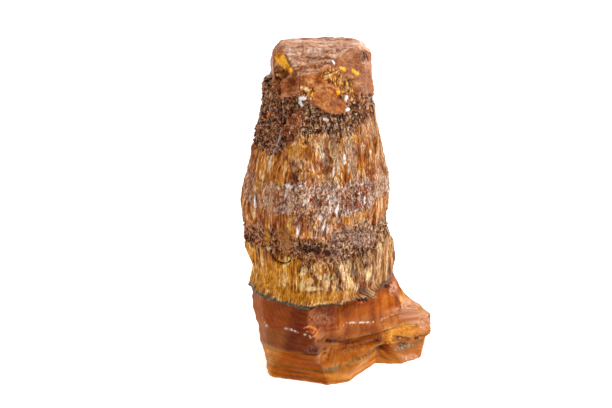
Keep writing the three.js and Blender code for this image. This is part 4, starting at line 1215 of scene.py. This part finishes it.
bareFibres = above(bodyPoint[2], 14.6, 0.6) * (1 - above(bodyPoint[2], capEdge(bodyPoint) + 0.3, 0.4))
bareFibres *= 1 - bodyCovered
for scatterName, kit, weight, tones, seed in (
    ("fibre_splinters", splinters, (0.3 + 0.7 * busy) * (1 - 0.8 * darkShare) * (1 - 0.7 * curlyShare), (0.6, 1.5), 3),
    ("sparkling_curls", curls, curlyShare + 0.42 * above(busy, 0.6, 0.3), (0.7, 1.6), 4),
    ("dark_band_grains", grains, darkShare + 0.02, (0.6, 1.8), 5),
):
    weight = weight * bareFibres
    scatterSlivers(scatterName, kit, bodyDressed, weight, busy, bodyColour, tones, seed, splinterFinish)

# Crumbs tinted in the gold glint shade are painted glints.
crumbs = {
    "count": 500,
    "halfLength": (0.12, 0.36),
    "halfWidth": (0.1, 0.25),
    "proud": (0.03, 0.12),
    "lean": 90,
    "lift": 30,
    "mix": {"goldGlint": 0.3},
}
crumbWeight = footCrumbly * above(footPoint[1], -12, 1)
busyFoot = np.ones(len(footTint))
scatterSlivers("ledge_crumbs", crumbs, footDressed, crumbWeight, busyFoot, footTint, (0.8, 1.25), 6, splinterFinish)

studio = {
    "target": (-5.405, -0.232, 29.8),  # millimetres
    "elevation": 20,
    "distance": 765,
    "lens": 250,
    "floorSize": 6,  # metres
    "world": 0.14,
    "lamps": (  # azimuth, elevation, distance in metres, size, watts
        ("backdropPanel", 90, 28, 1.5, 1.6, 9),
        ("topSoftbox", 310, 64, 0.7, 0.3, 2.2),
        ("leftSoftbox", 155, 22, 0.7, 0.3, 2.4),
        ("rightSoftbox", 350, 34, 0.7, 0.3, 4),
    ),
    "floorGlow": 0.56,
}


# Puts an object at a place and turns its -Z to look at a point.
def aim(item, location, target):
    item.location = location
    away = np.array(location) - np.array(target)
    flat = math.hypot(away[0], away[1])
    item.rotation_euler = (math.atan2(flat, away[2]), 0, math.atan2(away[1], away[0]) + math.pi / 2)


target = np.array(studio["target"]) * millimetre
cameraData = bpy.data.cameras.new("photoCamera")
cameraData.lens = studio["lens"]
cameraData.sensor_width = 36
cameraData.clip_start, cameraData.clip_end = 0.05, 20
camera = bpy.data.objects.new("photoCamera", cameraData)
bpy.context.collection.objects.link(camera)
aim(camera, target + towards(270, studio["elevation"]) * studio["distance"] * millimetre, target)
bpy.context.scene.camera = camera

for lampName, azimuth, elevation, away, size, watts in studio["lamps"]:
    lampData = bpy.data.lights.new(lampName, "AREA")
    lampData.size, lampData.energy = size, watts
    lamp = bpy.data.objects.new(lampName, lampData)
    lamp.visible_camera = False
    bpy.context.collection.objects.link(lamp)
    middle = np.array([0, 0, 0.03])
    aim(lamp, middle + towards(azimuth, elevation) * away, middle)

half = studio["floorSize"] / 2
floorPoints = np.array([(-half, -half, 0), (half, -half, 0), (half, half, 0), (-half, half, 0)], float)
floorMesh = arrayMesh("studio_floor", floorPoints, np.zeros((0, 3), int), np.array([[0, 1, 2, 3]]), False)
floorMaterial = bpy.data.materials.new("paleFloor")
floorMaterial.use_nodes = True
floorMaterial.node_tree.nodes["Principled BSDF"].inputs["Base Color"].default_value = (0.93, 0.93, 0.93, 1)
floorMaterial.node_tree.nodes["Principled BSDF"].inputs["Roughness"].default_value = 0.9
floorMaterial.node_tree.nodes["Principled BSDF"].inputs["Emission Color"].default_value = (1, 1, 1, 1)
floorMaterial.node_tree.nodes["Principled BSDF"].inputs["Emission Strength"].default_value = studio["floorGlow"]
floorMesh.materials.append(floorMaterial)
floorPiece = bpy.data.objects.new("studio_floor", floorMesh)
bpy.context.collection.objects.link(floorPiece)

world = bpy.data.worlds.new("whiteStudio")
world.use_nodes = True
world.node_tree.nodes["Background"].inputs["Color"].default_value = (1, 1, 1, 1)
world.node_tree.nodes["Background"].inputs["Strength"].default_value = studio["world"]
bpy.context.scene.world = world
bpy.context.scene.view_settings.view_transform = "Standard"
print("studio ready", flush=True)
